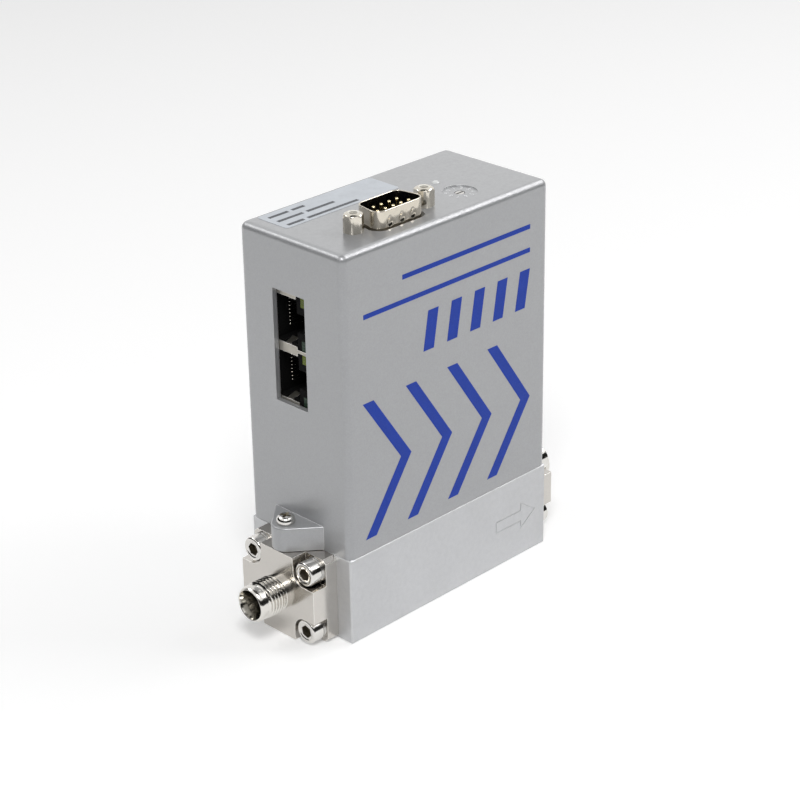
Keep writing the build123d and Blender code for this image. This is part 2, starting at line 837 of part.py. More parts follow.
with BuildPart() as connector_nuts:
    with BuildSketch(Plane.XY.offset(flange_underside)):
        with Locations(connector_centre):
            with GridLocations(jackscrew_spacing, 1, 2, 1):
                RegularPolygon(nut_flats / 2, 6, major_radius=False)
                Circle(jackscrew_stud_radius + seat_clearance, mode=Mode.SUBTRACT)
    extrude(amount=-nut_height)
connector_nuts.part.label = "connector_nuts"
export_step(connector_nuts.part, "parts/connector_nuts.step")


# ---------------------------------------------------------------- network sockets
socket_plane = Plane(origin=(socket_face, 0, 0), x_dir=(0, -1, 0), z_dir=(-1, 0, 0))
socket_middle_y = (socket_low_y + main_board_face) / 2
shield_length = 2 * socket_pitch + 2 * shield_wall
light_middle_y = (light_low_y + light_high_y) / 2

# Folded shield round both sockets, open towards the board. Each socket has an opening in it, wider
# beside the lights, and a pair of grounding leaves that bend in from the opening's edges.
with BuildPart() as socket_shield:
    with BuildSketch(socket_plane):
        with Locations((-socket_middle_y, socket_level)):
            Rectangle(socket_height, shield_length)
    extrude(amount=-socket_depth)
    with BuildSketch(socket_plane.offset(-shield_wall)):
        with Locations((-socket_middle_y - shield_wall, socket_level)):
            Rectangle(socket_height, shield_length - 2 * shield_wall)
    extrude(amount=-(socket_depth - 2 * shield_wall), mode=Mode.SUBTRACT)
    with BuildSketch(socket_plane):
        for level in socket_levels:
            with Locations((-(plug_low_y + plug_high_y) / 2, level)):
                Rectangle(plug_high_y - plug_low_y, shield_plug_opening)
            with Locations((-(opening_low_y + plug_low_y) / 2, level)):
                Rectangle(plug_low_y - opening_low_y, shield_light_opening)
    extrude(amount=-shield_wall, mode=Mode.SUBTRACT)
    with BuildSketch(Plane.XZ.offset(-leaf_y)):
        for level in socket_levels:
            for way in (-1, 1):
                with Locations((socket_face, level + way * shield_plug_opening / 2)):
                    Polygon(
                        (0, 0),
                        (0, way * shield_wall),
                        (shield_wall, way * shield_wall),
                        (leaf_length, -way * leaf_rise),
                        (leaf_length - shield_wall, -way * leaf_rise),
                        align=None,
                    )
    extrude(amount=leaf_width / 2, both=True)
socket_shield.part.label = "socket_shield"
export_step(socket_shield.part, "parts/socket_shield.step")


def build_insert(level):
    """Moulded socket body: plug opening, latch slot, wells for the lights, notches for the leaves."""
    with BuildPart() as insert:
        with BuildSketch(socket_plane.offset(-shield_wall)):
            with Locations((-(socket_middle_y + shield_wall / 2), level)):
                Rectangle(socket_height - shield_wall, socket_pitch - 2 * insert_side)
        extrude(amount=-(socket_depth - 2 * shield_wall))
        with BuildSketch(socket_plane):
            with Locations((-(plug_low_y + plug_high_y) / 2, level)):
                Rectangle(plug_high_y - plug_low_y, plug_width)
            with Locations((-(opening_low_y + plug_low_y) / 2, level)):
                Rectangle(plug_low_y - opening_low_y, latch_width)
        extrude(amount=-plug_depth, mode=Mode.SUBTRACT)
        with BuildSketch(socket_plane):
            with Locations((-light_middle_y, level)):
                with GridLocations(1, 2 * light_offset, 1, 2):
                    Rectangle(light_high_y - light_low_y, light_width)
        extrude(amount=-light_depth, mode=Mode.SUBTRACT)
        with BuildSketch(socket_plane):
            with Locations((-leaf_y, level)):
                Rectangle(
                    leaf_width + 2 * pass_clearance,
                    shield_plug_opening + 2 * (shield_wall + pass_clearance),
                )
        extrude(amount=-(leaf_length + pass_clearance), mode=Mode.SUBTRACT)
    return insert.part


upper_socket_insert = build_insert(socket_levels[0])
upper_socket_insert.label = "upper_socket_insert"
export_step(upper_socket_insert, "parts/upper_socket_insert.step")

lower_socket_insert = build_insert(socket_levels[1])
lower_socket_insert.label = "lower_socket_insert"
export_step(lower_socket_insert, "parts/lower_socket_insert.step")


def build_contacts(level):
    """Eight spring contacts, each rising from the socket's floor towards the back."""
    with BuildPart() as contacts:
        for index in range(contact_count):
            middle = level + contact_shift + (index - (contact_count - 1) / 2) * contact_pitch
            with BuildSketch(Plane.XY.offset(middle - contact_width / 2)):
                with Locations((socket_face, plug_high_y)):
                    Polygon(
                        (contact_start, 0),
                        (contact_start + contact_thickness, 0),
                        (contact_end, -contact_rise),
                        (contact_end - contact_thickness, -contact_rise - contact_thickness),
                        (contact_start, -contact_thickness),
                        align=None,
                    )
            extrude(amount=contact_width)
    return contacts.part


upper_socket_contacts = build_contacts(socket_levels[0])
upper_socket_contacts.label = "upper_socket_contacts"
export_step(upper_socket_contacts, "parts/upper_socket_contacts.step")

lower_socket_contacts = build_contacts(socket_levels[1])
lower_socket_contacts.label = "lower_socket_contacts"
export_step(lower_socket_contacts, "parts/lower_socket_contacts.step")


def build_lights(shift):
    """One indicator light in each socket, at the same corner of both."""
    with BuildPart() as lights:
        with BuildSketch(socket_plane.offset(-light_depth)):
            for level in socket_levels:
                with Locations((-light_middle_y, level + shift)):
                    Rectangle(
                        light_high_y - light_low_y - 2 * seat_clearance,
                        light_width - 2 * seat_clearance,
                    )
        extrude(amount=light_depth - shield_wall)
    return lights.part


yellow_socket_lights = build_lights(light_offset)
yellow_socket_lights.label = "yellow_socket_lights"
export_step(yellow_socket_lights, "parts/yellow_socket_lights.step")

green_socket_lights = build_lights(-light_offset)
green_socket_lights.label = "green_socket_lights"
export_step(green_socket_lights, "parts/green_socket_lights.step")


# ---------------------------------------------------------------- boards
board_underside = board_top - board_thickness

with BuildPart() as connector_board:
    with BuildSketch(Plane.XY.offset(board_underside)):
        with Locations((main_board_left, connector_board_front)):
            Rectangle(
                main_board_right - main_board_left,
                main_board_face + board_thickness - connector_board_front,
                align=(Align.MIN, Align.MIN),
            )
    extrude(amount=board_thickness)
connector_board.part.label = "connector_board"
export_step(connector_board.part, "parts/connector_board.step")

# Upright board behind the sockets, narrower beside the valve.
board_plane = Plane(origin=(0, main_board_face, 0), x_dir=(1, 0, 0), z_dir=(0, -1, 0))
with BuildPart() as main_board:
    with BuildSketch(board_plane):
        with BuildLine():
            Polyline(
                (main_board_left, main_board_bottom),
                (main_board_step_x, main_board_bottom),
                (main_board_step_x, main_board_step),
                (main_board_right, main_board_step),
                (main_board_right, board_underside),
                (main_board_left, board_underside),
                close=True,
            )
        make_face()
        with Locations((bracket_x, board_screw_level)):
            with GridLocations(board_screw_spacing, 1, 2, 1):
                Circle(board_screw_radius + pass_clearance, mode=Mode.SUBTRACT)
    extrude(amount=-board_thickness)
main_board.part.label = "main_board"
export_step(main_board.part, "parts/main_board.step")

# Row header that joins the two boards at their shared edge.
with BuildPart() as board_header:
    with BuildSketch(Plane.XY.offset(board_underside)):
        with Locations((0, main_board_face - header_width / 2)):
            Rectangle(header_length, header_width)
    extrude(amount=-header_width)
board_header.part.label = "board_header"
export_step(board_header.part, "parts/board_header.step")

# Folded bracket: its foot on the base block, its wall against the back of the main board.
with BuildPart() as board_bracket:
    with BuildSketch(Plane.YZ.offset(bracket_x - bracket_width / 2)):
        with BuildLine():
            Polyline(
                (bracket_y, base_height),
                (bracket_y + bracket_foot, base_height),
                (bracket_y + bracket_foot, base_height + bracket_thickness),
                (bracket_y + bracket_thickness, base_height + bracket_thickness),
                (bracket_y + bracket_thickness, base_height + bracket_height),
                (bracket_y, base_height + bracket_height),
                close=True,
            )
        make_face()
    extrude(amount=bracket_width)
    with BuildSketch(board_plane):
        with Locations((bracket_x, board_screw_level)):
            with GridLocations(board_screw_spacing, 1, 2, 1):
                Circle(board_screw_radius + seat_clearance)
    extrude(amount=-(board_thickness + bracket_thickness), mode=Mode.SUBTRACT)
    with BuildSketch(Plane.XY.offset(base_height)):
        with Locations((bracket_x, bracket_y + bracket_screw_offset)):
            with GridLocations(board_screw_spacing, 1, 2, 1):
                Circle(board_screw_radius + pass_clearance)
    extrude(amount=bracket_thickness, mode=Mode.SUBTRACT)
board_bracket.part.label = "board_bracket"
export_step(board_bracket.part, "parts/board_bracket.step")

# Four alike: two through the main board into the bracket, two through its foot into the block.
with BuildPart() as board_screws:
    with BuildSketch(board_plane):
        with Locations((bracket_x, board_screw_level)):
            with GridLocations(board_screw_spacing, 1, 2, 1):
                Circle(board_screw_head_radius)
    extrude(amount=board_screw_head_height)
    with BuildSketch(board_plane):
        with Locations((bracket_x, board_screw_level)):
            with GridLocations(board_screw_spacing, 1, 2, 1):
                Circle(board_screw_radius)
    extrude(amount=-board_screw_length)
    with BuildSketch(Plane.XY.offset(base_height + bracket_thickness)):
        with Locations((bracket_x, bracket_y + bracket_screw_offset)):
            with GridLocations(board_screw_spacing, 1, 2, 1):
                Circle(board_screw_head_radius)
    extrude(amount=board_screw_head_height)
    with BuildSketch(Plane.XY.offset(base_height + bracket_thickness)):
        with Locations((bracket_x, bracket_y + bracket_screw_offset)):
            with GridLocations(board_screw_spacing, 1, 2, 1):
                Circle(board_screw_radius)
    extrude(amount=-board_screw_length)
board_screws.part.label = "board_screws"
export_step(board_screws.part, "parts/board_screws.step")


# Chips on the front of the main board: the controller and its memory below the sockets, the
# network chips, regulator and valve driver beside them.
with BuildPart() as main_board_chips:
    for chip_x, chip_rise, chip_width, chip_height, chip_depth in chips:
        with BuildSketch(board_plane):
            with Locations((chip_x, base_height + chip_rise)):
                Rectangle(chip_width, chip_height)
        extrude(amount=chip_depth)
main_board_chips.part.label = "main_board_chips"
export_step(main_board_chips.part, "parts/main_board_chips.step")


# ---------------------------------------------------------------- address switch and status light
with BuildPart() as address_switch_body:
    with BuildSketch(Plane.XY.offset(board_top)):
        with Locations(switch_centre):
            Rectangle(switch_body_size, switch_body_size)
    extrude(amount=switch_body_height)
    with BuildSketch(Plane.XY.offset(board_top + switch_body_height)):
        with Locations(switch_centre):
            Circle(rotor_disc_radius + seat_clearance)
    extrude(amount=-rotor_disc_height, mode=Mode.SUBTRACT)
address_switch_body.part.label = "address_switch_body"
export_step(address_switch_body.part, "parts/address_switch_body.step")

# The rotor turns in the body; its slotted stem stands in the hole under the dial.
rotor_top = cover_top - rotor_top_gap
with BuildPart() as address_switch_rotor:
    with BuildSketch(Plane.XY.offset(board_top + switch_body_height - rotor_disc_height)):
        with Locations(switch_centre):
            Circle(rotor_disc_radius)
    extrude(amount=rotor_disc_height)
    with BuildSketch(Plane.XY.offset(board_top + switch_body_height)):
        with Locations(switch_centre):
            Circle(rotor_radius)
    extrude(amount=rotor_top - board_top - switch_body_height)
    with BuildSketch(Plane.XY.offset(rotor_top)):
        with Locations(switch_centre):
            Rectangle(2 * rotor_radius, rotor_slot_width)
    extrude(amount=-rotor_slot_depth, mode=Mode.SUBTRACT)
address_switch_rotor.part.label = "address_switch_rotor"
export_step(address_switch_rotor.part, "parts/address_switch_rotor.step")

with BuildPart() as status_light:
    with BuildSketch(Plane.XY.offset(board_top)):
        with Locations(light_pipe_centre):
            Rectangle(status_light_size, status_light_size)
    extrude(amount=status_light_height)
status_light.part.label = "status_light"
export_step(status_light.part, "parts/status_light.step")

pipe_bottom = board_top + status_light_height
with BuildPart() as status_light_pipe:
    with BuildSketch(Plane.XY.offset(pipe_bottom)):
        with Locations(light_pipe_centre):
            Circle(light_pipe_radius)
    extrude(amount=cover_top + light_pipe_dome - pipe_bottom)
    chamfer(status_light_pipe.edges().group_by(Axis.Z)[-1], light_pipe_dome)
status_light_pipe.part.label = "status_light_pipe"
export_step(status_light_pipe.part, "parts/status_light_pipe.step")


# ---------------------------------------------------------------- laminar element and flow sensor
# A plug with parallel slits, pushed into the inlet bore between the two sensor passages.
with BuildPart() as laminar_element:
    with BuildSketch(Plane(origin=(element_left, 0, port_height), x_dir=(0, 1, 0), z_dir=(1, 0, 0))):
        Circle(main_bore_radius - seat_clearance)
        with GridLocations(element_slit_pitch, 1, element_slits, 1):
            Rectangle(element_slit, main_bore_radius, mode=Mode.SUBTRACT)
    extrude(amount=element_length)
laminar_element.part.label = "laminar_element"
export_step(laminar_element.part, "parts/laminar_element.step")

with BuildPart() as sensor_gasket:
    with BuildSketch(Plane.XY.offset(base_height)):
        with Locations((sensor_x, 0)):
            Rectangle(sensor_length, sensor_width)
            with GridLocations(sensor_hole_spacing, 1, 2, 1):
                Rectangle(sensor_channel_width, sensor_channel_width, mode=Mode.SUBTRACT)
            with GridLocations(sensor_screw_spacing, 1, 2, 1):
                Circle(sensor_screw_radius + pass_clearance, mode=Mode.SUBTRACT)
    extrude(amount=sensor_gasket_thickness)
sensor_gasket.part.label = "sensor_gasket"
export_step(sensor_gasket.part, "parts/sensor_gasket.step")

# The block leads a side stream up, past the sensing chip in the channel on top, and down again.
with BuildPart() as sensor_block:
    with BuildSketch(Plane.XY.offset(gasket_top)):
        with Locations((sensor_x, 0)):
            Rectangle(sensor_length, sensor_width)
            with GridLocations(sensor_screw_spacing, 1, 2, 1):
                Circle(sensor_screw_radius + pass_clearance, mode=Mode.SUBTRACT)
            with GridLocations(sensor_hole_spacing, 1, 2, 1):
                Rectangle(sensor_channel_width, sensor_channel_width, mode=Mode.SUBTRACT)
    extrude(amount=sensor_block_height)
    with BuildSketch(Plane.XY.offset(block_top)):
        with Locations((sensor_x, 0)):
            Rectangle(sensor_hole_spacing, sensor_channel_width)
    extrude(amount=-sensor_channel_depth, mode=Mode.SUBTRACT)
sensor_block.part.label = "sensor_block"
export_step(sensor_block.part, "parts/sensor_block.step")

with BuildPart() as sensor_chip:
    with BuildSketch(Plane.XY.offset(block_top)):
        with Locations((sensor_x, 0)):
            Rectangle(sensor_chip_size, sensor_chip_size)
    extrude(amount=-sensor_chip_height)
sensor_chip.part.label = "sensor_chip"
export_step(sensor_chip.part, "parts/sensor_chip.step")

with BuildPart() as sensor_board:
    with BuildSketch(Plane.XY.offset(block_top)):
        with Locations((sensor_x, 0)):
            Rectangle(sensor_length, sensor_width)
            with GridLocations(sensor_screw_spacing, 1, 2, 1):
                Circle(sensor_screw_radius + pass_clearance, mode=Mode.SUBTRACT)
    extrude(amount=sensor_board_thickness)
sensor_board.part.label = "sensor_board"
export_step(sensor_board.part, "parts/sensor_board.step")

with BuildPart() as sensor_screws:
    with BuildSketch(Plane.XY.offset(screw_top)):
        with Locations((sensor_x, 0)):
            with GridLocations(sensor_screw_spacing, 1, 2, 1):
                Circle(sensor_screw_head_radius)
    extrude(amount=sensor_screw_head_height)
    with BuildSketch(Plane.XY.offset(base_height - sensor_screw_grip)):
        with Locations((sensor_x, 0)):
            with GridLocations(sensor_screw_spacing, 1, 2, 1):
                Circle(sensor_screw_radius)
    extrude(amount=screw_top - base_height + sensor_screw_grip)
sensor_screws.part.label = "sensor_screws"
export_step(sensor_screws.part, "parts/sensor_screws.step")

# Flat cable from the sensor board, bent up against the front of the main board.
with BuildPart() as sensor_cable:
    with BuildLine(Plane.YZ.offset(sensor_x)) as cable_route:
        FilletPolyline(
            (cable_start_y, screw_top + cable_thickness / 2),
            (main_board_face - cable_thickness / 2, screw_top + cable_thickness / 2),
            (main_board_face - cable_thickness / 2, base_height + cable_rise),
            radius=cable_bend,
        )
    with BuildSketch(Plane(origin=cable_route.line @ 0, x_dir=(1, 0, 0), z_dir=(0, 1, 0))):
        Rectangle(cable_width, cable_thickness)
    sweep()
sensor_cable.part.label = "sensor_cable"
export_step(sensor_cable.part, "parts/sensor_cable.step")


# ---------------------------------------------------------------- proportional valve
sleeve_bottom = base_height - sleeve_thread_length
hex_top = base_height + sleeve_hex_height
coil_bottom = hex_top + yoke_thickness
yoke_top = coil_bottom + coil_height + yoke_thickness
seat_disc_bottom = orifice_top
plunger_bottom = seat_disc_bottom + seat_disc_proud
plunger_top = plunger_bottom + plunger_length
pole_face = plunger_top + valve_stroke + stroke_reserve
valve_axis = Axis((valve_x, 0, 0), (0, 0, 1))
valve_section = Plane(origin=(valve_x, 0, 0), x_dir=(1, 0, 0), z_dir=(0, -1, 0))
stud_top = yoke_top + valve_nut_height + stud_reserve

with BuildPart() as valve_orifice:
    with BuildSketch(Plane.XY.offset(valve_floor)):
        with Locations((valve_x, 0)):
            Circle(orifice_radius)
            Circle(orifice_bore_radius, mode=Mode.SUBTRACT)
    extrude(amount=orifice_height)
valve_orifice.part.label = "valve_orifice"
export_step(valve_orifice.part, "parts/valve_orifice.step")

with BuildPart() as valve_seat_disc:
    with BuildSketch(Plane.XY.offset(seat_disc_bottom)):
        with Locations((valve_x, 0)):
            Circle(seat_disc_radius)
    extrude(amount=seat_disc_height)
valve_seat_disc.part.label = "valve_seat_disc"
export_step(valve_seat_disc.part, "parts/valve_seat_disc.step")

# Magnetic plunger: a pocket below for the seat disc, a pocket above for the spring.
with BuildPart() as valve_plunger:
    with BuildSketch(valve_section):
        with BuildLine():
            Polyline(
                (0, seat_disc_bottom + seat_disc_height),
                (seat_disc_radius, seat_disc_bottom + seat_disc_height),
                (seat_disc_radius, plunger_bottom),
                (sleeve_radius - sleeve_wall - plunger_clearance, plunger_bottom),
                (sleeve_radius - sleeve_wall - plunger_clearance, plunger_top),
                (plunger_pocket_radius, plunger_top),
                (plunger_pocket_radius, plunger_top - plunger_pocket_depth),
                (0, plunger_top - plunger_pocket_depth),
                close=True,
            )
        make_face()
    revolve(axis=valve_axis)
valve_plunger.part.label = "valve_plunger"
export_step(valve_plunger.part, "parts/valve_plunger.step")

# Return spring between the plunger and the pole.
spring_bottom = plunger_top - plunger_pocket_depth
spring_height = pole_face - spring_bottom - spring_wire
with BuildPart() as plunger_spring:
    with BuildLine(Plane.XY.offset(spring_bottom + spring_wire / 2)):
        with Locations((valve_x, 0)):
            coil_path = Helix(
                pitch=spring_height / spring_turns,
                height=spring_height,
                radius=spring_radius,
                center=(valve_x, 0, 0),
            )
    with BuildSketch(Plane(origin=coil_path @ 0, z_dir=coil_path % 0)):
        Rectangle(spring_wire, spring_wire)
    sweep(path=coil_path, is_frenet=True)
plunger_spring.part.label = "plunger_spring"
export_step(plunger_spring.part, "parts/plunger_spring.step")

# Sleeve with its pole piece: a threaded foot in the pocket, a hexagon, the tube round the plunger,
# and a stud on top for the nut.
with BuildPart() as valve_sleeve:
    with BuildSketch(valve_section):
        with BuildLine():
            Polyline(
                (0, pole_face),
                (sleeve_radius - sleeve_wall, pole_face),
                (sleeve_radius - sleeve_wall, sleeve_bottom),
                (valve_pocket_radius - seat_clearance, sleeve_bottom),
                (valve_pocket_radius - seat_clearance, base_height),
                (sleeve_radius, base_height),
                (sleeve_radius, yoke_top - yoke_thickness),
                (sleeve_stud_radius, yoke_top - yoke_thickness),
                (sleeve_stud_radius, stud_top),
                (0, stud_top),
                close=True,
            )
        make_face()
    revolve(axis=valve_axis)
    with BuildSketch(Plane.XY.offset(base_height)):
        with Locations((valve_x, 0)):
            RegularPolygon(sleeve_hex_flats / 2, 6, major_radius=False)
            Circle(sleeve_radius - sleeve_wall, mode=Mode.SUBTRACT)
    extrude(amount=sleeve_hex_height)
valve_sleeve.part.label = "valve_sleeve"
export_step(valve_sleeve.part, "parts/valve_sleeve.step")

with BuildPart() as valve_coil:
    with BuildSketch(Plane.XY.offset(coil_bottom)):
        with Locations((valve_x, 0)):
            Rectangle(coil_size, coil_size)
            Circle(sleeve_radius + seat_clearance, mode=Mode.SUBTRACT)
    extrude(amount=coil_height)
valve_coil.part.label = "valve_coil"
export_step(valve_coil.part, "parts/valve_coil.step")

# Pair of leads from the coil's side across to the face of the main board.
with BuildPart() as coil_leads:
    with BuildSketch(Plane.YZ.offset(valve_x - coil_size / 2)):
        with Locations((main_board_face - lead_thickness / 2, base_height + lead_rise)):
            Rectangle(lead_thickness, lead_width)
    extrude(amount=-lead_length)
coil_leads.part.label = "coil_leads"
export_step(coil_leads.part, "parts/coil_leads.step")

# Folded yoke: lower and upper arms with holes for the sleeve and its stud, joined beside the coil.
yoke_right = coil_size / 2 + yoke_thickness
with BuildPart() as valve_yoke:
    with BuildSketch(valve_section):
        with BuildLine():
            Polyline(
                (-coil_size / 2, hex_top),
                (yoke_right, hex_top),
                (yoke_right, yoke_top),
                (-coil_size / 2, yoke_top),
                (-coil_size / 2, yoke_top - yoke_thickness),
                (coil_size / 2, yoke_top - yoke_thickness),
                (coil_size / 2, coil_bottom),
                (-coil_size / 2, coil_bottom),
                close=True,
            )
        make_face()
    extrude(amount=coil_size / 2, both=True)
    with BuildSketch(Plane.XY.offset(hex_top)):
        with Locations((valve_x, 0)):
            Circle(sleeve_radius + seat_clearance)
    extrude(amount=yoke_thickness, mode=Mode.SUBTRACT)
    with BuildSketch(Plane.XY.offset(yoke_top)):
        with Locations((valve_x, 0)):
            Circle(sleeve_stud_radius + seat_clearance)
    extrude(amount=-yoke_thickness, mode=Mode.SUBTRACT)
valve_yoke.part.label = "valve_yoke"
export_step(valve_yoke.part, "parts/valve_yoke.step")

with BuildPart() as valve_nut:
    with BuildSketch(Plane.XY.offset(yoke_top)):
        with Locations((valve_x, 0)):
            RegularPolygon(valve_nut_flats / 2, 6, major_radius=False)
            Circle(sleeve_stud_radius + seat_clearance, mode=Mode.SUBTRACT)
    extrude(amount=valve_nut_height)
valve_nut.part.label = "valve_nut"
export_step(valve_nut.part, "parts/valve_nut.step")
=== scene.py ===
"""Looks of the mass flow controller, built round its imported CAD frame. Lengths are in metres."""
import itertools
import json
import math

import bmesh
import bpy
from mathutils import Matrix, Vector


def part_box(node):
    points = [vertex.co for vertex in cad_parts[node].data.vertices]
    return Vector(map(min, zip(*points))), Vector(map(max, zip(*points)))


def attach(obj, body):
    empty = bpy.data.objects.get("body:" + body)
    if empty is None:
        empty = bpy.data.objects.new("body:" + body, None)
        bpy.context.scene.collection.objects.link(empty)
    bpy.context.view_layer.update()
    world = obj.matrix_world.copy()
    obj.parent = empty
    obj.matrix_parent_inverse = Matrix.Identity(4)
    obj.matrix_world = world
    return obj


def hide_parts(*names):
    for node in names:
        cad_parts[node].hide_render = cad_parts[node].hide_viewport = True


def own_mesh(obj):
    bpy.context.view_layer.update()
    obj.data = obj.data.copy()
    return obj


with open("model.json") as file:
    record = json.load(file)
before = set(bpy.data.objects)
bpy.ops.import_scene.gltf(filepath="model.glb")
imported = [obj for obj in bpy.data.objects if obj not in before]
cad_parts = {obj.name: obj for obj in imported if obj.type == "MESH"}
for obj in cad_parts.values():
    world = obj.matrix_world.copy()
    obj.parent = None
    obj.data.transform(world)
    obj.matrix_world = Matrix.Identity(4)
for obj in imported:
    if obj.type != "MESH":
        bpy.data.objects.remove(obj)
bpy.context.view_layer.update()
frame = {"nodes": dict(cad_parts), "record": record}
nodes = frame["nodes"]

MM = 0.001
TURN = 2 * math.pi

# ---------------------------------------------------------------- camera
CAMERA_AZIMUTH = math.radians(-45.02)
CAMERA_ELEVATION = math.radians(25.45)
CAMERA_ROLL = math.radians(-0.97)
CAMERA_DISTANCE = 589.63 * MM
CAMERA_TARGET = Vector((0, 0, 55 * MM))
CAMERA_SHIFT_RIGHT = -0.03 * MM
CAMERA_SHIFT_UP = -3.24 * MM
CAMERA_LENS = 99.66         # on a 36 mm sensor


def make_camera():
    """Camera at the photograph's viewpoint."""
    a, e = CAMERA_AZIMUTH, CAMERA_ELEVATION
    back = Vector((math.sin(a) * math.cos(e), -math.cos(a) * math.cos(e), math.sin(e)))
    level_right = Vector((math.cos(a), math.sin(a), 0))
    level_up = back.cross(level_right)
    right = math.cos(CAMERA_ROLL) * level_right + math.sin(CAMERA_ROLL) * level_up
    up = -math.sin(CAMERA_ROLL) * level_right + math.cos(CAMERA_ROLL) * level_up
    place = CAMERA_TARGET + back * CAMERA_DISTANCE + right * CAMERA_SHIFT_RIGHT + up * CAMERA_SHIFT_UP
    data = bpy.data.cameras.new("camera")
    data.lens = CAMERA_LENS
    data.sensor_width = 36
    data.clip_start = 0.01
    data.clip_end = 20
    camera = bpy.data.objects.new("camera", data)
    bpy.context.scene.collection.objects.link(camera)
    camera.matrix_world = Matrix((right, up, back)).transposed().to_4x4()
    camera.location = place
    bpy.context.scene.camera = camera


make_camera()


# ---------------------------------------------------------------- material nodes
class Recipe:
    """A material with one Principled shader, and short calls for the nodes that feed it."""

    def __init__(self, name, color, metallic, roughness, **constants):
        self.material = bpy.data.materials.new(name)
        self.material.use_nodes = True
        self.tree = self.material.node_tree
        self.shader = self.tree.nodes["Principled BSDF"]
        self.color = (*color, 1)
        self.shader.inputs["Base Color"].default_value = self.color
        self.shader.inputs["Metallic"].default_value = metallic
        self.shader.inputs["Roughness"].default_value = roughness
        for socket, value in constants.items():
            self.shader.inputs[socket.replace("_", " ")].default_value = value
        self.place = self.node("ShaderNodeTexCoord").outputs["Object"]
        self.height = None

    def node(self, kind, **settings):
        """A new node with its settings."""
        made = self.tree.nodes.new(kind)
        for key, value in settings.items():
            setattr(made, key, value)
        return made

    def link(self, source, target):
        """Joins an output to an input."""
        self.tree.links.new(source, target)

    def stretched(self, scale):
        """The object's coordinates, multiplied along each axis."""
        mapping = self.node("ShaderNodeMapping")
        mapping.inputs["Scale"].default_value = scale
        self.link(self.place, mapping.inputs["Vector"])
        return mapping.outputs["Vector"]

    def noise(self, scale, detail=3, vector=None):
        """Soft noise, with about scale cells to the metre."""
        texture = self.node("ShaderNodeTexNoise")
        texture.inputs["Scale"].default_value = scale
        texture.inputs["Detail"].default_value = detail
        self.link(vector or self.place, texture.inputs["Vector"])
        return texture.outputs["Fac"]

    def band(self, value, low, high, out_low=0, out_high=1):
        """Maps a value from one range to another."""
        node = self.node("ShaderNodeMapRange", interpolation_type="SMOOTHSTEP")
        ends = {"From Min": low, "From Max": high, "To Min": out_low, "To Max": out_high}
        for socket, number in ends.items():
            node.inputs[socket].default_value = number
        self.link(value, node.inputs["Value"])
        return node.outputs["Result"]

    def math(self, operation, first, second):
        """A sum or comparison of two values, each a number or an output."""
        node = self.node("ShaderNodeMath", operation=operation)
        for socket, value in zip(node.inputs, (first, second)):
            if isinstance(value, (int, float)):
                socket.default_value = value
            else:
                self.link(value, socket)
        return node.outputs[0]

    def blend(self, first, second, share):
        """Two values added, the first with a share and the second with the rest."""
        parts = [self.math("MULTIPLY", value, part) for value, part in ((first, share), (second, 1 - share))]
        return self.math("ADD", *parts)

    def axis(self, index):
        """One coordinate of the object's space."""
        node = self.node("ShaderNodeSeparateXYZ")
        self.link(self.place, node.inputs[0])
        return node.outputs[index]

    def tint(self, value, dark, light):
        """Base colour that runs from dark to light, as shares of the plain colour."""
        ramp = self.node("ShaderNodeMix", data_type="RGBA")
        ramp.inputs["A"].default_value = (*(dark * c for c in self.color[:3]), 1)
        ramp.inputs["B"].default_value = (*(min(1, light * c) for c in self.color[:3]), 1)
        self.link(value, ramp.inputs["Factor"])
        self.link(ramp.outputs["Result"], self.shader.inputs["Base Color"])

    def polish(self, value, low, high):
        """Roughness that follows a value."""
        self.link(self.band(value, 0.3, 0.7, low, high), self.shader.inputs["Roughness"])

    def bump(self, value, distance, strength=1.0):
        """Adds relief; the distance is in metres."""
        node = self.node("ShaderNodeBump")
        node.inputs["Strength"].default_value = strength
        node.inputs["Distance"].default_value = distance
        self.link(value, node.inputs["Height"])
        if self.height is not None:
            self.link(self.height, node.inputs["Normal"])
        self.height = node.outputs["Normal"]
        self.link(self.height, self.shader.inputs["Normal"])


CREASE_LEVEL = 106.3 * MM       # faint line across the socket side of the cover, under its top edge
CREASE_WIDTH = 0.12 * MM
CREASE_SIDE = -37.0 * MM        # it shows only on what lies beyond this along X
GRAIN = 2200                    # cells to the metre in the surface of plastic


def cover_paint():
    """Silver paint with a fine grain under a clear coat, and a faint line just under the top edge."""
    m = Recipe("cover_paint", (0.362, 0.367, 0.377), 0.4, 0.36, Coat_Weight=0.8, Coat_Roughness=0.25)
    grain = m.noise(2600, detail=2)
    m.tint(m.blend(grain, m.noise(60, detail=4), 0.8), 0.88, 1.12)
    m.polish(m.noise(900, detail=2), 0.33, 0.43)
    m.bump(grain, 0.00002, 0.2)
    m.bump(m.noise(520, detail=2), 0.00003, 0.08)
    off_line = m.math("ABSOLUTE", m.math("SUBTRACT", m.axis(2), CREASE_LEVEL), 0)
    elsewhere = m.math("GREATER_THAN", m.axis(0), CREASE_SIDE)
    m.bump(m.math("MAXIMUM", m.band(off_line, 0, CREASE_WIDTH), elsewhere), 0.00003, 0.3)
    return m.material


def blasted_aluminium():
    """Bead-blasted aluminium of the base block."""
    m = Recipe("blasted_aluminium", (0.59, 0.595, 0.605), 0.85, 0.5)
    grain = m.noise(3800, detail=2)
    m.tint(m.blend(grain, m.noise(90), 0.6), 0.9, 1.1)
    m.polish(m.noise(700), 0.44, 0.56)
    m.bump(grain, 0.000012, 0.4)
    return m.material


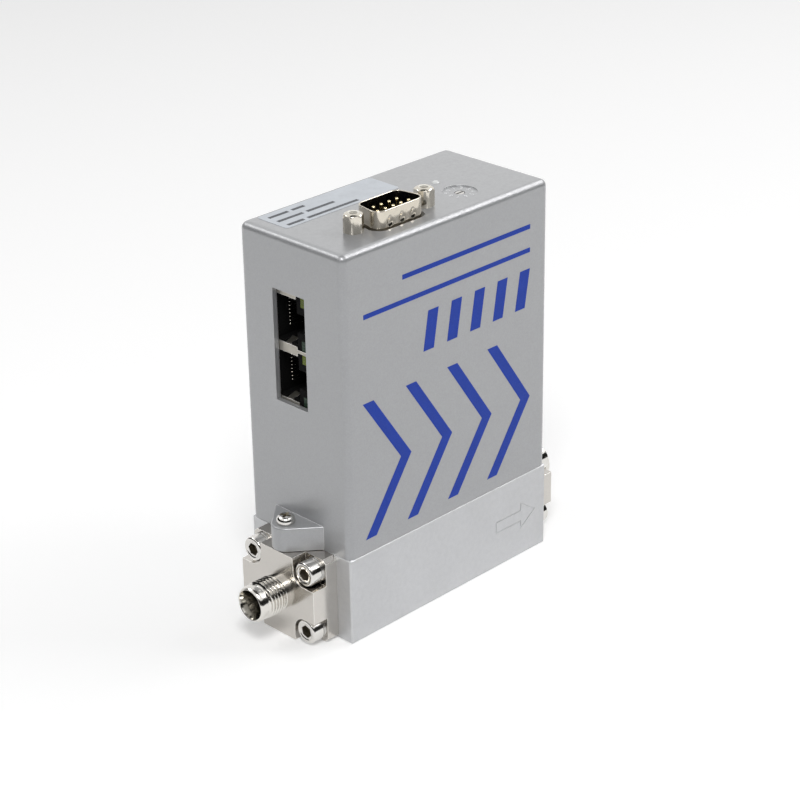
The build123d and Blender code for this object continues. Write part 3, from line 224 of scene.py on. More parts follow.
def milled_steel():
    """Stainless steel with the faint streaks of a face mill."""
    m = Recipe("milled_steel", (0.60, 0.575, 0.54), 1.0, 0.2)
    streaks = m.noise(1.0, detail=4, vector=m.stretched((900, 220, 2600)))
    m.tint(m.blend(streaks, m.noise(160), 0.5), 0.9, 1.08)
    m.polish(m.noise(120, detail=3), 0.14, 0.24)
    m.bump(streaks, 0.000005, 0.2)
    return m.material


def turned_steel():
    """Bright turned stainless steel, its fine rings square to the flow axis."""
    m = Recipe("turned_steel", (0.70, 0.68, 0.64), 1.0, 0.1)
    rings = m.noise(1.0, detail=3, vector=m.stretched((9000, 60, 60)))
    m.tint(rings, 0.93, 1.06)
    m.polish(m.noise(300), 0.11, 0.18)
    m.bump(rings, 0.000003, 0.15)
    return m.material


def bright_steel(name, color, low, high):
    """Plated or bright drawn steel of small parts."""
    m = Recipe(name, color, 1.0, low)
    m.tint(m.noise(800, detail=3), 0.9, 1.06)
    m.polish(m.noise(450, detail=3), low, high)
    m.bump(m.noise(1500), 0.000003, 0.12)
    return m.material


def moulded(name, color, roughness, **constants):
    """Moulded plastic, rubber, film or print, with a fine surface grain."""
    m = Recipe(name, color, 0.0, roughness, **constants)
    m.tint(m.noise(400, detail=3), 0.88, 1.12)
    m.polish(m.noise(GRAIN), roughness * 0.85, min(1, roughness * 1.2))
    m.bump(m.noise(GRAIN, detail=2), 0.00001, 0.3)
    return m.material


STEELS = {                              # colour, and the lowest and highest roughness
    # The three edge finishes below are lighter than their metal or paint: painted highlights on the broken edges.
    "painted_highlight_edge_steel": ((0.93, 0.91, 0.87), 0.25, 0.35),
    "painted_highlight_edge_paint": ((0.62, 0.625, 0.63), 0.35, 0.45),
    "painted_highlight_edge_aluminium": ((0.78, 0.785, 0.79), 0.4, 0.5),
    "screw_steel": ((0.72, 0.705, 0.675), 0.08, 0.17),
    "washer_steel": ((0.55, 0.54, 0.52), 0.16, 0.28),
    # Darker steel for the inside of the tube ends: painted shade.
    "bore_painted_shade_steel": ((0.50, 0.485, 0.45), 0.12, 0.18),
    # Painted shade: the dark inside of the screw sockets and cross recesses.
    "socket_painted_shade": ((0.25, 0.225, 0.175), 0.4, 0.5),
    # Painted shade: a near-black lining inside the connector shell.
    "shell_painted_shade": ((0.07, 0.07, 0.075), 0.25, 0.35),
    # Plated contact wire, paler than gold so that its glints show white: the paleness is a painted highlight.
    "contact_pale_highlight": ((0.66, 0.63, 0.56), 0.12, 0.2),
    "shell_nickel": ((0.66, 0.61, 0.52), 0.10, 0.2),
    "jack_nickel": ((0.70, 0.66, 0.58), 0.10, 0.2),
    "contact_gold": ((0.86, 0.74, 0.46), 0.12, 0.22),
    "shield_steel": ((0.42, 0.40, 0.355), 0.3, 0.42),
    "bracket_steel": ((0.5, 0.5, 0.47), 0.25, 0.4),
    "element_steel": ((0.5, 0.49, 0.47), 0.2, 0.35),
    "magnetic_steel": ((0.42, 0.41, 0.40), 0.25, 0.4),
    "spring_steel": ((0.5, 0.5, 0.5), 0.2, 0.35),
}
PLASTICS = {                            # colour, roughness, and what else the shader is given
    # A pale, non-metal white for the jackscrews' threaded bores: painted highlight.
    "bore_painted_highlight": ((0.80, 0.78, 0.72), 0.3, {}),
    "seal_rubber": ((0.02, 0.02, 0.02), 0.6, {}),
    "print_blue": ((0.010, 0.045, 0.36), 0.5, {"Specular_IOR_Level": 0.25}),
    "label_film": ((0.535, 0.565, 0.605), 0.4, {}),
    "insulator_black": ((0.004, 0.004, 0.004), 0.75, {"Specular_IOR_Level": 0.1}),
    "light_yellow": ((0.10, 0.13, 0.004), 0.25, {"Specular_IOR_Level": 0.3}),
    "light_green": ((0.008, 0.030, 0.014), 0.25, {"Specular_IOR_Level": 0.3}),
    "board_green": ((0.02, 0.14, 0.05), 0.35, {}),
    "chip_black": ((0.02, 0.02, 0.02), 0.5, {}),
    "switch_white": ((0.70, 0.70, 0.68), 0.4, {}),
    "light_pipe_clear": ((0.80, 0.82, 0.81), 0.15, {"Transmission_Weight": 0.15}),
    "coil_tape": ((0.35, 0.18, 0.03), 0.4, {}),
    "cable_film": ((0.45, 0.25, 0.05), 0.3, {}),
    "silicon": ((0.12, 0.12, 0.15), 0.15, {}),
    "numeral_white": ((0.86, 0.87, 0.88), 0.45, {}),
    "label_ink": ((0.075, 0.08, 0.09), 0.5, {}),
}
materials = {
    "cover_paint": cover_paint(),
    "block_aluminium": blasted_aluminium(),
    "fitting_steel": milled_steel(),
    "turned_steel": turned_steel(),
}
materials.update({name: bright_steel(name, *finish) for name, finish in STEELS.items()})
for name, (color, roughness, constants) in PLASTICS.items():
    materials[name] = moulded(name, color, roughness, **constants)

for row in frame["record"]["subparts"]:
    node = nodes[row["node"]]
    node.data.materials.clear()
    node.data.materials.append(materials[row["material_slot"]])


# ---------------------------------------------------------------- mesh building
SHARP_ANGLE = math.radians(38)
FLAT_ANGLE = math.radians(0.4)  # faces that turn by less are one flat
BEVEL_ANGLE = math.radians(40)
WELD_DISTANCE = 0.001 * MM


def arc(along, radius, size, start, end, steps):
    """Rows of a rounded edge: its middle, its radius, and its angles in degrees from the axis."""
    angles = (math.radians(start + (end - start) * step / steps) for step in range(steps + 1))
    return [(along + size * math.cos(angle), radius + size * math.sin(angle)) for angle in angles]


def hexagon(flats, angle):
    """Distance from the middle of a hexagon to its side, at an angle."""
    return flats / 2 / math.cos((angle + TURN / 12) % (TURN / 6) - TURN / 12)


def looking(place, direction, turn=0):
    """A frame at a place whose Z runs in a direction, for what is turned about that axis."""
    spin = Matrix.Rotation(turn, 4, "Z")
    return Matrix.Translation(place) @ Vector(direction).to_track_quat("Z", "Y").to_matrix().to_4x4() @ spin


class Shape:
    """Points and faces of one piece, gathered from simple forms. Its numbers are in millimetres."""

    def __init__(self):
        self.points = []
        self.faces = []

    def add(self, points, faces):
        """Adds points, and faces that count from the first of them."""
        first = len(self.points)
        self.points += [Vector(point) * MM for point in points]
        self.faces += [tuple(first + index for index in face) for face in faces]

    def rings(self, rings, ends=True):
        """Skin over rings of points, open or capped at both ends."""
        count = len(rings[0])
        faces = []
        for start in range(0, (len(rings) - 1) * count, count):
            for step in range(count):
                here, beside = start + step, start + (step + 1) % count
                faces.append((here, beside, beside + count, here + count))
        if ends:
            faces.append(tuple(reversed(range(count))))
            faces.append(tuple(range((len(rings) - 1) * count, len(rings) * count)))
        self.add([point for ring in rings for point in ring], faces)

    def turned(self, place, rows, count=48, ends=True):
        """A form round an axis. Each row is (along, radius), or a function of the angle that gives them."""
        rings = []
        for row in rows:
            ring = []
            for step in range(count):
                angle = TURN * step / count
                along, radius = row(angle) if callable(row) else row
                ring.append(place @ Vector((radius * math.cos(angle), radius * math.sin(angle), along)))
            rings.append(ring)
        self.rings(rings, ends=ends)

    def wire(self, route, radius, count=10):
        """A round wire along a level route, with closed ends."""
        rings = []
        up = Vector((0, 0, 1))
        angles = [TURN * step / count for step in range(count)]
        for index, point in enumerate(route):
            ahead = Vector(route[min(index + 1, len(route) - 1)]) - Vector(route[max(index - 1, 0)])
            across = up.cross(ahead.normalized())
            rings.append([
                Vector(point) + radius * (math.cos(angle) * across + math.sin(angle) * up) for angle in angles
            ])
        self.rings(rings)

    def take(self, node, keep):
        """The faces of a CAD node whose middle passes a test, joined into whole flats."""
        bm = bmesh.new()
        bm.from_mesh(nodes[node].data)
        gone = [face for face in bm.faces if not keep(face.calc_center_median() / MM)]
        bmesh.ops.delete(bm, geom=gone, context="FACES")
        bmesh.ops.remove_doubles(bm, verts=bm.verts, dist=WELD_DISTANCE)
        bmesh.ops.dissolve_limit(bm, angle_limit=FLAT_ANGLE, verts=bm.verts, edges=bm.edges)
        bm.verts.index_update()
        points = [vertex.co / MM for vertex in bm.verts]
        self.add(points, [[vertex.index for vertex in face.verts] for face in bm.faces])
        bm.free()

    def piece(self, name, material, replaced=(), body="root", edge=0, highlight_material=None):
        """Makes the object, smooth between its sharp edges, and hangs it on the empty of its body.

        The piece takes the material of the given name.
        """
        mesh = bpy.data.meshes.new(name)
        mesh.from_pydata(self.points, [], self.faces)
        bm = bmesh.new()
        bm.from_mesh(mesh)
        bmesh.ops.recalc_face_normals(bm, faces=bm.faces)
        bm.to_mesh(mesh)
        bm.free()
        mesh.shade_smooth()
        mesh.set_sharp_from_angle(angle=SHARP_ANGLE)
        mesh.materials.append(materials[material])
        made = bpy.data.objects.new(name, mesh)
        bpy.context.scene.collection.objects.link(made)
        # A lighter material on the broken edges is a painted highlight.
        if edge:
            soften(made, edge, highlight_material)
        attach(made, body)
        if replaced:
            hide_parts(*replaced)
        return made


def soften(made, width, highlight_material=None, weld=False):
    """Rounds the sharp edges of an object by a small width in millimetres, and may give them a lighter material as a
    painted highlight.
    """
    if weld:
        made.modifiers.new("weld", "WELD").merge_threshold = WELD_DISTANCE
    bevel = made.modifiers.new("edges", "BEVEL")
    bevel.width = width * MM
    bevel.segments = 2
    bevel.limit_method = "ANGLE"
    bevel.angle_limit = BEVEL_ANGLE
    bevel.harden_normals = True
    if highlight_material:
        made.data.materials.append(materials[highlight_material])
        bevel.material = 1
    normals = made.modifiers.new("normals", "WEIGHTED_NORMAL")
    normals.mode = "FACE_AREA"
    normals.keep_sharp = True


# ---------------------------------------------------------------- flanged tube fittings
END_FACE = 37.8
PORT_HEIGHT = 12.35
FLANGE_DEPTH = 8.6
THREAD_START = 10.2
THREAD_END = 15.7
THREAD_PITCH = 1.0
THREAD_CREST = 5.15
THREAD_ROOT = 4.52
THREAD_ROWS = 16            # to a pitch
RELIEF_RADIUS = 4.5         # of the grooves at both ends of the thread
COLLAR_START = 6.4
COLLAR_RADIUS = 4.85
NOSE_RADIUS = 4.95
NOSE_START = 17.3           # of its rounding, from the flange's seat
NOSE_ROUNDING = 1.584
NOSE_TILTS = (0, 12, 24, 36, 45, 49.2)
MOUTH = (18.38, 4.15)       # along and radius of the cone's open end
CONE_END = 15.9
TUBE_RADIUS = 3.2
TUBE_SIDES = 72
EDGE = 0.18                 # width of a broken edge on milled steel


def thread_row(along):
    """A row of a right-hand helical thread, chamfered at both ends."""
    room = min(along - THREAD_START, THREAD_END - along)

    def row(angle):
        off_crest = abs((along / THREAD_PITCH - angle / TURN) % 1 - 0.5) * 2
        rise = min(1, max(0, 1.35 * (1 - off_crest) - 0.12))    # flat at the crest and at the root
        return along, min(THREAD_ROOT + rise * (THREAD_CREST - THREAD_ROOT), THREAD_ROOT + 1.1 * room)

    return row


def make_fitting(side, node):
    """The flange block with broken edges, and its turned tube end with a real thread."""
    block = Shape()
    block.take(node, lambda middle: abs(middle.x) < END_FACE + FLANGE_DEPTH + 0.01)
    # The broken edges of the flange get a lighter steel: painted highlight.
    block.piece(node + "_flange", "fitting_steel", replaced=[node], edge=EDGE, highlight_material="painted_highlight_edge_steel")

    steps = round((THREAD_END - THREAD_START) / THREAD_PITCH * THREAD_ROWS)
    rows = [(COLLAR_START, COLLAR_RADIUS), (9.58, COLLAR_RADIUS), (9.7, 4.73)]
    rows += [(9.76, RELIEF_RADIUS), (THREAD_START, RELIEF_RADIUS)]
    rows += [thread_row(THREAD_START + step * THREAD_PITCH / THREAD_ROWS) for step in range(steps + 1)]
    rows += [(15.74, RELIEF_RADIUS), (16.06, RELIEF_RADIUS), (16.1, 4.8), (16.24, NOSE_RADIUS)]
    for tilt in map(math.radians, NOSE_TILTS):
        drop = NOSE_ROUNDING * (1 - math.cos(tilt))
        rows.append((NOSE_START + NOSE_ROUNDING * math.sin(tilt), NOSE_RADIUS - drop))
    rows += [(18.5, 4.33), (18.47, 4.24), MOUTH]
    place = looking((side * END_FACE, 0, PORT_HEIGHT), (side, 0, 0))
    tube = Shape()
    tube.turned(place, rows, count=TUBE_SIDES, ends=False)
    tube.piece(node + "_tube_end", "turned_steel", replaced=[node])
    # The mouth and bore of the tube end are darker steel than the outside: painted shade.
    bore = Shape()
    bore.turned(place, [MOUTH, (CONE_END, TUBE_RADIUS), (COLLAR_START, TUBE_RADIUS)], count=TUBE_SIDES, ends=False)
    bore.piece(node + "_tube_mouth", "bore_painted_shade_steel", replaced=[node])


make_fitting(-1, "inlet_fitting")
make_fitting(1, "outlet_fitting")


# ---------------------------------------------------------------- screws and washers
SCREW_Y = 9.8
SCREW_Z = 8.5
HEAD_SEAT = 4.8
SCREW_TURNS = (12, 47, -8, 25, 31, 3, 52, 18)
SOCKET_FLATS = 3.2
LUG_TOP = 31.4
PAN_SCREW_X = END_FACE + 4.8
PAN_SCREW_TURNS = {-1: 20, 1: 60}
PAN_SCREW_SIDES = 96
WASHER_THICKNESS = 0.9
WASHER_STEPS = 48
WASHER_HALF_GAP = 0.085     # of the split, in radians
WASHER_SECTION = (          # radius and height
    (2.15, 0.08), (2.23, 0), (3.42, 0), (3.5, 0.08), (3.5, 0.82), (3.42, 0.9), (2.23, 0.9), (2.15, 0.82),
)


def flange_screw_seats(rise, turns=(0,) * len(SCREW_TURNS)):
    """A frame on the axis of each flange screw, facing out, at a height over the flange's seat."""
    spots = itertools.product((-1, 1), (-SCREW_Y, SCREW_Y), (-SCREW_Z, SCREW_Z))
    for (side, y, z), turn in zip(spots, turns):
        yield looking((side * (END_FACE + rise), y, PORT_HEIGHT + z), (side, 0, 0), math.radians(turn))


def make_flange_screws():
    """Socket-head screws with a rounded crown and a hexagon socket."""
    shape = Shape()
    # The hexagon sockets are dark steel: painted shade in the hollows.
    sockets = Shape()
    rows = [(-12, 1.55), (-11.55, 2), (0, 2), (0, 3.2), (0.2, 3.4)]
    rows += arc(2.75, 2.75, 0.65, 90, 0, 7)
    rows += [(3.4, 2.35), (3.22, 2.15), (3.2, 1.95)]
    mouth = [lambda angle: (3.16, hexagon(SOCKET_FLATS, angle))]
    walls = [
        lambda angle: (1.4, hexagon(SOCKET_FLATS, angle)),
        lambda angle: (1.4, 0.8 * hexagon(SOCKET_FLATS, angle)),
        (1.0, 0.02),
    ]
    for place in flange_screw_seats(HEAD_SEAT, SCREW_TURNS):
        shape.turned(place, rows + mouth, ends=False)
        sockets.turned(place, mouth + walls, ends=False)
    shape.piece("flange_cap_screws", "screw_steel", replaced=["flange_screws"])
    sockets.piece("cap_screw_sockets", "socket_painted_shade", replaced=["flange_screws"])


def make_lock_washers():
    """Split spring washers, one under each screw head."""
    shape = Shape()
    for place in flange_screw_seats(HEAD_SEAT - WASHER_THICKNESS):
        down = place.to_3x3().inverted() @ Vector((0, 0, -1))
        start = math.atan2(down.y, down.x) + WASHER_HALF_GAP
        rings = []
        for step in range(WASHER_STEPS + 1):
            angle = start + (TURN - 2 * WASHER_HALF_GAP) * step / WASHER_STEPS
            rings.append([
                place @ Vector((radius * math.cos(angle), radius * math.sin(angle), along))
                for radius, along in WASHER_SECTION
            ])
        shape.rings(rings)
    shape.piece("split_lock_washers", "washer_steel", replaced=["flange_lock_washers"])


def cross(arm, half_width, angle):
    """Distance from the middle of a cross recess to its side, at an angle."""
    off = abs((angle + TURN / 8) % (TURN / 4) - TURN / 8)
    return min(arm / math.cos(off), half_width / max(math.sin(off), 1e-6))


def make_cover_screws():
    """Polished pan-head screws with a cross recess, one in each lug of the cover."""
    shape = Shape()
    # The cross recesses are dark steel: painted shade in the hollows.
    recesses = Shape()
    rows = [(-10, 1.1), (-9.6, 1.5), (0, 1.5), (0, 2.35), (0.14, 2.5), (0.7, 2.5), (1.1, 2.44), (1.45, 2.3)]
    rows += [(1.75, 2.08), (1.95, 1.82), (2.05, 1.65), (2.09, 1.56)]
    mouth = [lambda angle: (2.08, cross(1.48, 0.42, angle))]
    walls = [
        lambda angle: (1.9, cross(1.36, 0.34, angle)),
        lambda angle: (1.1, cross(0.9, 0.26, angle)),
        (0.9, 0.02),
    ]
    for side, turn in PAN_SCREW_TURNS.items():
        place = looking((side * PAN_SCREW_X, 0, LUG_TOP), (0, 0, 1), math.radians(turn))
        shape.turned(place, rows + mouth, count=PAN_SCREW_SIDES, ends=False)
        recesses.turned(place, mouth + walls, count=PAN_SCREW_SIDES, ends=False)
    shape.piece("cover_pan_screws", "screw_steel", replaced=["cover_screws"])
    recesses.piece("pan_screw_recesses", "socket_painted_shade", replaced=["cover_screws"])


make_flange_screws()
make_lock_washers()
make_cover_screws()


# ---------------------------------------------------------------- nine-pin connector
COVER_TOP = 108.35
COVER_INSIDE = 106.85
CONNECTOR = (-11.0, -8.2)
SHELL_TOP = COVER_TOP + 4.8
SHELL_WALL = 0.45
SHELL_CORNER = 2.6
SHELL_CORNERS = ((-8.9, -4.6), (8.9, -4.6), (7.28, 4.6), (-7.28, 4.6))
SHELL_FRONT = -4.6
SHELL_CORNER_STEPS = 10
SHELL_FRONT_STEPS = 64
SHELL_DIMPLES = (-4.3, -0.1, 3.7)      # along the front of the shell, from its middle
DIMPLE_LEVEL = 109.8
DIMPLE_REACH = 0.95
DIMPLE_DEPTH = 0.3
PIN_PITCH = 2.76
PIN_ROWS = ((5, -1.42), (4, 1.42))     # pins, and their place across the shell
PIN_RADIUS = 0.5
JACKSCREW_FLATS = 4.76
JACKSCREW_SPACING = 24.99
JACKSCREW_TURNS = (64.0, 40.0)


def shell_outline(margin):
    """Points round the D of the shell, grown by a margin, with many of them along its front."""
    points = []
    radius = SHELL_CORNER + margin
    count = len(SHELL_CORNERS)
    for index in range(count):
        before, corner, after = (Vector(SHELL_CORNERS[(index + step) % count]) for step in (-1, 0, 1))
        coming = (corner - before).normalized()
        going = (after - corner).normalized()
        turn = coming.angle_signed(going) * -1
        reach = SHELL_CORNER * math.tan(turn / 2)
        middle = corner - coming * reach + Vector((-coming.y, coming.x)) * SHELL_CORNER
        first = math.atan2(-coming.x, coming.y)
        for step in range(SHELL_CORNER_STEPS + 1):
            angle = first + turn * step / SHELL_CORNER_STEPS
            points.append(middle + radius * Vector((math.cos(angle), math.sin(angle))))
    first_corner, rest = points[:SHELL_CORNER_STEPS + 1], points[SHELL_CORNER_STEPS + 1:]
    steps = range(1, SHELL_FRONT_STEPS)
    return first_corner + [first_corner[-1].lerp(rest[0], step / SHELL_FRONT_STEPS) for step in steps] + rest


def make_shell():
    """The drawn shell with a rolled rim and three dimples in its front, and its flange under the cover; its inside is
    lined near black as painted shade.
    """
    shape = Shape()
    shape.take("connector_shell", lambda middle: middle.z < COVER_INSIDE + 0.01)
    dimpled = [108.6 + 0.15 * step for step in range(17)]
    rows = [(level, 0.0) for level in [COVER_INSIDE - 0.1, 107.6, 108.3] + dimpled + [112.0, 112.85]]
    half = SHELL_WALL / 2
    for tilt in map(math.radians, range(0, 181, 30)):
        rows.append((SHELL_TOP - half + half * math.sin(tilt), half * (math.cos(tilt) - 1)))
    lining = [(SHELL_TOP - half, -SHELL_WALL), (COVER_INSIDE - 0.1, -SHELL_WALL)]
    rings = []
    for level, margin in rows:
        ring = []
        for point in shell_outline(margin):
            dent = 0.0
            if margin == 0 and point.y < SHELL_FRONT + 0.01:
                for place in SHELL_DIMPLES:
                    off = ((point.x - place) ** 2 + (level - DIMPLE_LEVEL) ** 2) / DIMPLE_REACH ** 2
                    dent += DIMPLE_DEPTH * math.exp(-off * off)
            ring.append((CONNECTOR[0] + point.x, CONNECTOR[1] + point.y + dent, level))
        rings.append(ring)
    shape.rings(rings, ends=False)
    shape.piece("connector_drawn_shell", "shell_nickel", replaced=["connector_shell"])
    # A near-black lining inside the shell is painted shade.
    inside = Shape()
    inside.rings(
        [[(CONNECTOR[0] + point.x, CONNECTOR[1] + point.y, level) for point in shell_outline(margin)]
         for level, margin in lining],
        ends=False,
    )
    inside.piece("connector_shell_inside", "shell_painted_shade", replaced=["connector_shell"])


def make_pins():
    """Nine round pins with domed tips."""
    shape = Shape()
    low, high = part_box("connector_pin_set")
    length = (high.z - low.z) / MM
    rows = [(0, PIN_RADIUS)] + arc(length - PIN_RADIUS, 0.02, PIN_RADIUS - 0.02, 90, 2, 6)
    for row_count, y in PIN_ROWS:
        for index in range(row_count):
            x = (index - (row_count - 1) / 2) * PIN_PITCH
            place = looking((CONNECTOR[0] + x, CONNECTOR[1] + y, low.z / MM), (0, 0, 1))
            shape.turned(place, rows, count=20)
    shape.piece("connector_contact_pins", "contact_gold", replaced=["connector_pin_set"])


def make_jackscrews():
    """Hexagon posts with a crowned top, a countersink and a threaded bore."""
    shape = Shape()
    # The threaded bores are pale white: a painted highlight for the bright disc of each hole.
    threads = Shape()

    def crown(along, cap):
        return lambda angle: (along, min(cap, hexagon(JACKSCREW_FLATS, angle)))

    rows = [(-5.5, 1.15), (-5.2, 1.4), (0, 1.4), crown(0, 2.6), crown(0.12, 2.75)]
    rows += [crown(along, cap) for along, cap in ((4.3, 2.75), (4.42, 2.68), (4.55, 2.57), (4.68, 2.42))]
    rows += [(4.8, 2.25), (4.92, 2.02), (5.02, 1.78), (5.08, 1.6), (5.1, 1.48), (5.09, 1.42)]
    bore = [(5.09, 1.42)]
    for drop in (0.4 * ring for ring in range(7)):
        bore += [(5.06 - drop, 1.34), (4.94 - drop, 1.08), (4.82 - drop, 1.08)]
    bore += [(1.6, 1.2), (1.6, 0.02)]
    for side, turn in zip((-1, 1), JACKSCREW_TURNS):
        foot = (CONNECTOR[0] + side * JACKSCREW_SPACING / 2, CONNECTOR[1], COVER_TOP)
        place = looking(foot, (0, 0, 1), math.radians(turn))
        shape.turned(place, rows, ends=False)
        threads.turned(place, bore, ends=False)
    shape.piece("crowned_jackscrews", "jack_nickel", replaced=["jackscrews"])
    threads.piece("jackscrew_bore_threads", "bore_painted_highlight", replaced=["jackscrews"])


make_shell()
make_pins()
make_jackscrews()


# ---------------------------------------------------------------- contacts of the network sockets
SOCKET_FACE = -36.2
PLUG_WALL_Y = 7.2
CONTACT_PITCH = 1.02
CONTACT_SHIFT = 0.4
CONTACT_RADIUS = 0.14
CONTACT_BEND = 0.3
CONTACT_BEND_X = SOCKET_FACE + 4.0
CONTACT_TILT = math.radians(20.5)
CONTACT_REACH = 6.0                    # of the sloped end, into the socket
CONTACT_TAIL_X = SOCKET_FACE + 9.0     # end of the straight part, along the wall
CONTACT_COUNT = 8
CONTACT_LEVELS = {"upper_socket_contacts": 85.25, "lower_socket_contacts": 69.75}


def make_contacts(node, level):
    """Eight round spring wires, each bent back on itself behind the mouth of the socket."""
    shape = Shape()
    bend_y = PLUG_WALL_Y - CONTACT_RADIUS - CONTACT_BEND - 0.02
    route = [Vector((CONTACT_TAIL_X, bend_y + CONTACT_BEND, 0))]
    for step in range(13):
        angle = math.pi / 2 + (math.pi - CONTACT_TILT) * step / 12
        around = Vector((math.cos(angle), math.sin(angle), 0))
        route.append(Vector((CONTACT_BEND_X, bend_y, 0)) + CONTACT_BEND * around)
    route.append(route[-1] + CONTACT_REACH * Vector((math.cos(CONTACT_TILT), -math.sin(CONTACT_TILT), 0)))
    for index in range(CONTACT_COUNT):
        z = level + CONTACT_SHIFT + (index - (CONTACT_COUNT - 1) / 2) * CONTACT_PITCH
        shape.wire([(point.x, point.y, z) for point in route], CONTACT_RADIUS)
    # The wires are paler than gold: painted highlight.
    shape.piece(node + "_wires", "contact_pale_highlight", replaced=[node])


for node, level in CONTACT_LEVELS.items():
    make_contacts(node, level)


# ---------------------------------------------------------------- dial figures and printed lines
SWITCH_CENTRE = (15.05, -7.9)
NUMERAL_LEVEL = COVER_TOP - 0.27        # just over the floor of the recess
NUMERAL_HEIGHT = 1.3
NUMERAL_RADIUS = 3.3
NUMERAL_FIRST = 18                     # degrees from the Y axis, and on by a tenth of a turn for each
NUMERAL_INK = 0.02                     # half its thickness
FONT_SIZE = NUMERAL_HEIGHT * 1.4


def make_dial_numerals():
    """The figures 0 to 9 round the switch, printed on the floor of its recess."""
    shape = Shape()
    for figure in range(10):
        curve = bpy.data.curves.new("figure", "FONT")
        curve.body = str(figure)
        curve.align_x = "CENTER"
        curve.align_y = "CENTER"
        curve.size = FONT_SIZE
        curve.extrude = NUMERAL_INK
        curve.resolution_u = 3
        writer = bpy.data.objects.new("figure", curve)
        drawn = bpy.data.meshes.new_from_object(writer)
        heading = math.radians(NUMERAL_FIRST - 36 * figure)
        place = Matrix.Translation((*SWITCH_CENTRE, NUMERAL_LEVEL)) @ Matrix.Rotation(heading, 4, "Z")
        out = Matrix.Translation((0, NUMERAL_RADIUS, 0))
        points = [place @ out @ vertex.co for vertex in drawn.vertices]
        shape.add(points, [tuple(face.vertices) for face in drawn.polygons])
        bpy.data.meshes.remove(drawn)
        bpy.data.objects.remove(writer)
        bpy.data.curves.remove(curve)
    shape.piece("dial_numerals", "numeral_white")


make_dial_numerals()

LABEL_TOP = COVER_TOP + 0.08
LABEL_BAR_HEIGHT = 1.1
LABEL_BAR_GAP = 1.3
LABEL_INK = 0.015                      # thickness
LABEL_LINES = (                        # left end, level and lengths of the plain bars in each line
    (-31.6, 14.0, (6.6, 4.3)),
    (-31.7, 10.5, (8.6, 9.6)),
    (-31.6, 7.0, (5.6, 17.6)),
)


def make_label_lines():
    """Three lines of plain dark bars where a label carries its data."""
    shape = Shape()
    for left, middle, lengths in LABEL_LINES:
        for length in lengths:
            corners = [
                (left + along * length, middle + across * LABEL_BAR_HEIGHT / 2)
                for along, across in ((0, -1), (1, -1), (1, 1), (0, 1))
            ]
            shape.rings([[(x, y, LABEL_TOP + rise) for x, y in corners] for rise in (0, LABEL_INK)])
            left += length + LABEL_BAR_GAP
    shape.piece("label_bars", "label_ink")


make_label_lines()


# ---------------------------------------------------------------- broken edges of the block, the shield and the cover, painted lighter as highlights
BLOCK_EDGE = 0.16
SHIELD_EDGE = 0.08
COVER_EDGE = 0.14

# Lighter metal on the broken edges of the block and the shield: painted highlights.
soften(nodes["base_block"], BLOCK_EDGE, "painted_highlight_edge_aluminium", weld=True)
soften(nodes["socket_shield"], SHIELD_EDGE, "painted_highlight_edge_steel", weld=True)

# Lighter paint on the broken edges of the cover: painted highlights.
cover = Shape()
cover.take("cover", lambda middle: True)
cover.piece("painted_cover", "cover_paint", replaced=["cover"], edge=COVER_EDGE, highlight_material="painted_highlight_edge_paint")


def make_spring():
    """The coiled spring over the plunger, as a piece with a mesh of its own; the real spring shortens as the plunger
    lifts.
    """
    shape = Shape()
    shape.take("plunger_spring", lambda middle: True)
    made = shape.piece("return_spring_coil", "spring_steel", replaced=["plunger_spring"])
    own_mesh(made)


make_spring()


# ---------------------------------------------------------------- floor, backdrop and lights
WORLD_FILL = 0.34
FLOOR_HALF = 6.0
FLOOR_GLOW = 0.22           # keeps the unshadowed floor white to the camera and in metal
FLAG_RADIUS = 2.2
FLAG_LOW = 0.02
FLAG_HIGH = 1.35
FLAG_START = 100            # degrees from the X axis; behind the object the band is open
FLAG_END = 345
CEILING_HEIGHT = 2.4
CEILING_RADIUS = 1.0
MIDDLE = (0, 0, 0.055)
LIGHTS = {                  # place, width and height in metres, and watts
    "right": ((0.80, -0.17, 0.86), (0.55, 0.24), 2.1),
    "back": ((-0.40, 0.72, 0.84), (0.50, 0.26), 1.6),
    "over_camera": ((-0.44, -0.44, 0.88), (0.32, 0.32), 4.6),
    "right_front": ((0.70, -0.60, 0.84), (0.36, 0.36), 2.2),
}


def seen_directly(tree):
    """One for camera, glossy and transmission rays, and nothing for the rest."""
    paths = tree.nodes.new("ShaderNodeLightPath")
    value = paths.outputs["Is Camera Ray"]
    for ray in ("Is Glossy Ray", "Is Transmission Ray"):
        larger = tree.nodes.new("ShaderNodeMath")
        larger.operation = "MAXIMUM"
        tree.links.new(value, larger.inputs[0])
        tree.links.new(paths.outputs[ray], larger.inputs[1])
        value = larger.outputs[0]
    return value


def make_world():
    """White where it is seen, and a softer fill for the rest."""
    world = bpy.data.worlds.new("studio")
    world.use_nodes = True
    bpy.context.scene.world = world
    tree = world.node_tree
    shader = tree.nodes["Background"]
    shader.inputs["Color"].default_value = (1, 1, 1, 1)
    level = tree.nodes.new("ShaderNodeMapRange")
    level.inputs["To Min"].default_value = WORLD_FILL
    level.inputs["To Max"].default_value = 1
    tree.links.new(seen_directly(tree), level.inputs["Value"])
    tree.links.new(level.outputs["Result"], shader.inputs["Strength"])


def plain_stage(name, points, faces, color):
    """A dull part of the studio, with the nodes of its material and its shader."""
    mesh = bpy.data.meshes.new(name)
    mesh.from_pydata(points, [], faces)
    made = bpy.data.objects.new(name, mesh)
    bpy.context.scene.collection.objects.link(made)
    material = bpy.data.materials.new(name)
    material.use_nodes = True
    shader = material.node_tree.nodes["Principled BSDF"]
    shader.inputs["Base Color"].default_value = (*color, 1)
    shader.inputs["Roughness"].default_value = 0.9
    shader.inputs["Specular IOR Level"].default_value = 0.1
    mesh.materials.append(material)
    return made, material.node_tree, shader


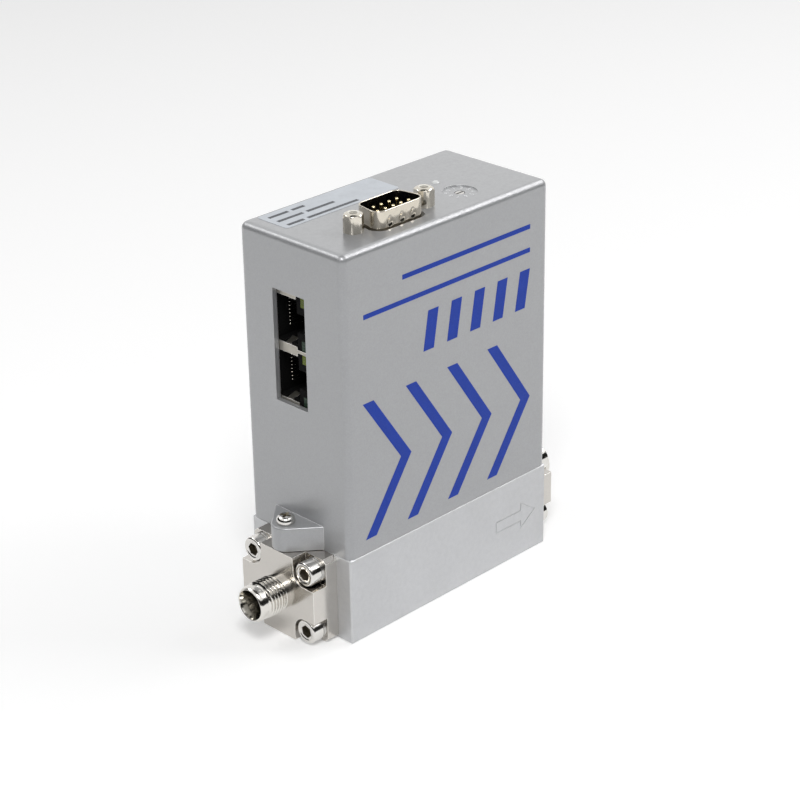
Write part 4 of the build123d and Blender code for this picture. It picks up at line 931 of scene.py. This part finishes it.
def make_floor():
    """A pale floor, white to the camera where no shadow falls."""
    half = FLOOR_HALF
    corners = [(-half, -half, 0), (half, -half, 0), (half, half, 0), (-half, half, 0)]
    _, tree, shader = plain_stage("floor", corners, [(0, 1, 2, 3)], (0.9, 0.9, 0.9))
    shader.inputs["Emission Color"].default_value = (1, 1, 1, 1)
    glow = tree.nodes.new("ShaderNodeMath")
    glow.operation = "MULTIPLY"
    glow.inputs[1].default_value = FLOOR_GLOW
    tree.links.new(seen_directly(tree), glow.inputs[0])
    tree.links.new(glow.outputs[0], shader.inputs["Emission Strength"])


def show_to_metal_alone(made):
    """Hides a part of the studio from all but glossy rays."""
    made.visible_camera = False
    made.visible_diffuse = False
    made.visible_shadow = False
    made.visible_transmission = False


def make_flag():
    """A dark band round the front and sides of the studio, which only the metal sees."""
    count = 48
    points = []
    for level in (FLAG_LOW, FLAG_HIGH):
        for step in range(count):
            angle = math.radians(FLAG_START + (FLAG_END - FLAG_START) * step / (count - 1))
            points.append((FLAG_RADIUS * math.cos(angle), FLAG_RADIUS * math.sin(angle), level))
    faces = [(step, step + 1, count + step + 1, count + step) for step in range(count - 1)]
    show_to_metal_alone(plain_stage("flag", points, faces, (0.03, 0.03, 0.03))[0])


def make_ceiling():
    """A dark ceiling over the middle of the studio, which only the metal sees."""
    count = 32
    points = []
    for angle in (TURN * step / count for step in range(count)):
        points.append((CEILING_RADIUS * math.cos(angle), CEILING_RADIUS * math.sin(angle), CEILING_HEIGHT))
    show_to_metal_alone(plain_stage("ceiling", points, [tuple(range(count))], (0.12, 0.12, 0.12))[0])


def area_light(name, place, size, power):
    """A soft light with straight sides, aimed at the middle of the object."""
    data = bpy.data.lights.new(name, "AREA")
    data.shape = "RECTANGLE"
    data.size, data.size_y = size
    data.energy = power
    light = bpy.data.objects.new(name, data)
    bpy.context.scene.collection.objects.link(light)
    light.location = place
    light.rotation_mode = "QUATERNION"
    light.rotation_quaternion = (Vector(place) - Vector(MIDDLE)).to_track_quat("Z", "Y")


bpy.context.scene.view_settings.view_transform = "Standard"
make_world()
make_floor()
make_flag()
make_ceiling()
for name, settings in LIGHTS.items():
    area_light(name, *settings)
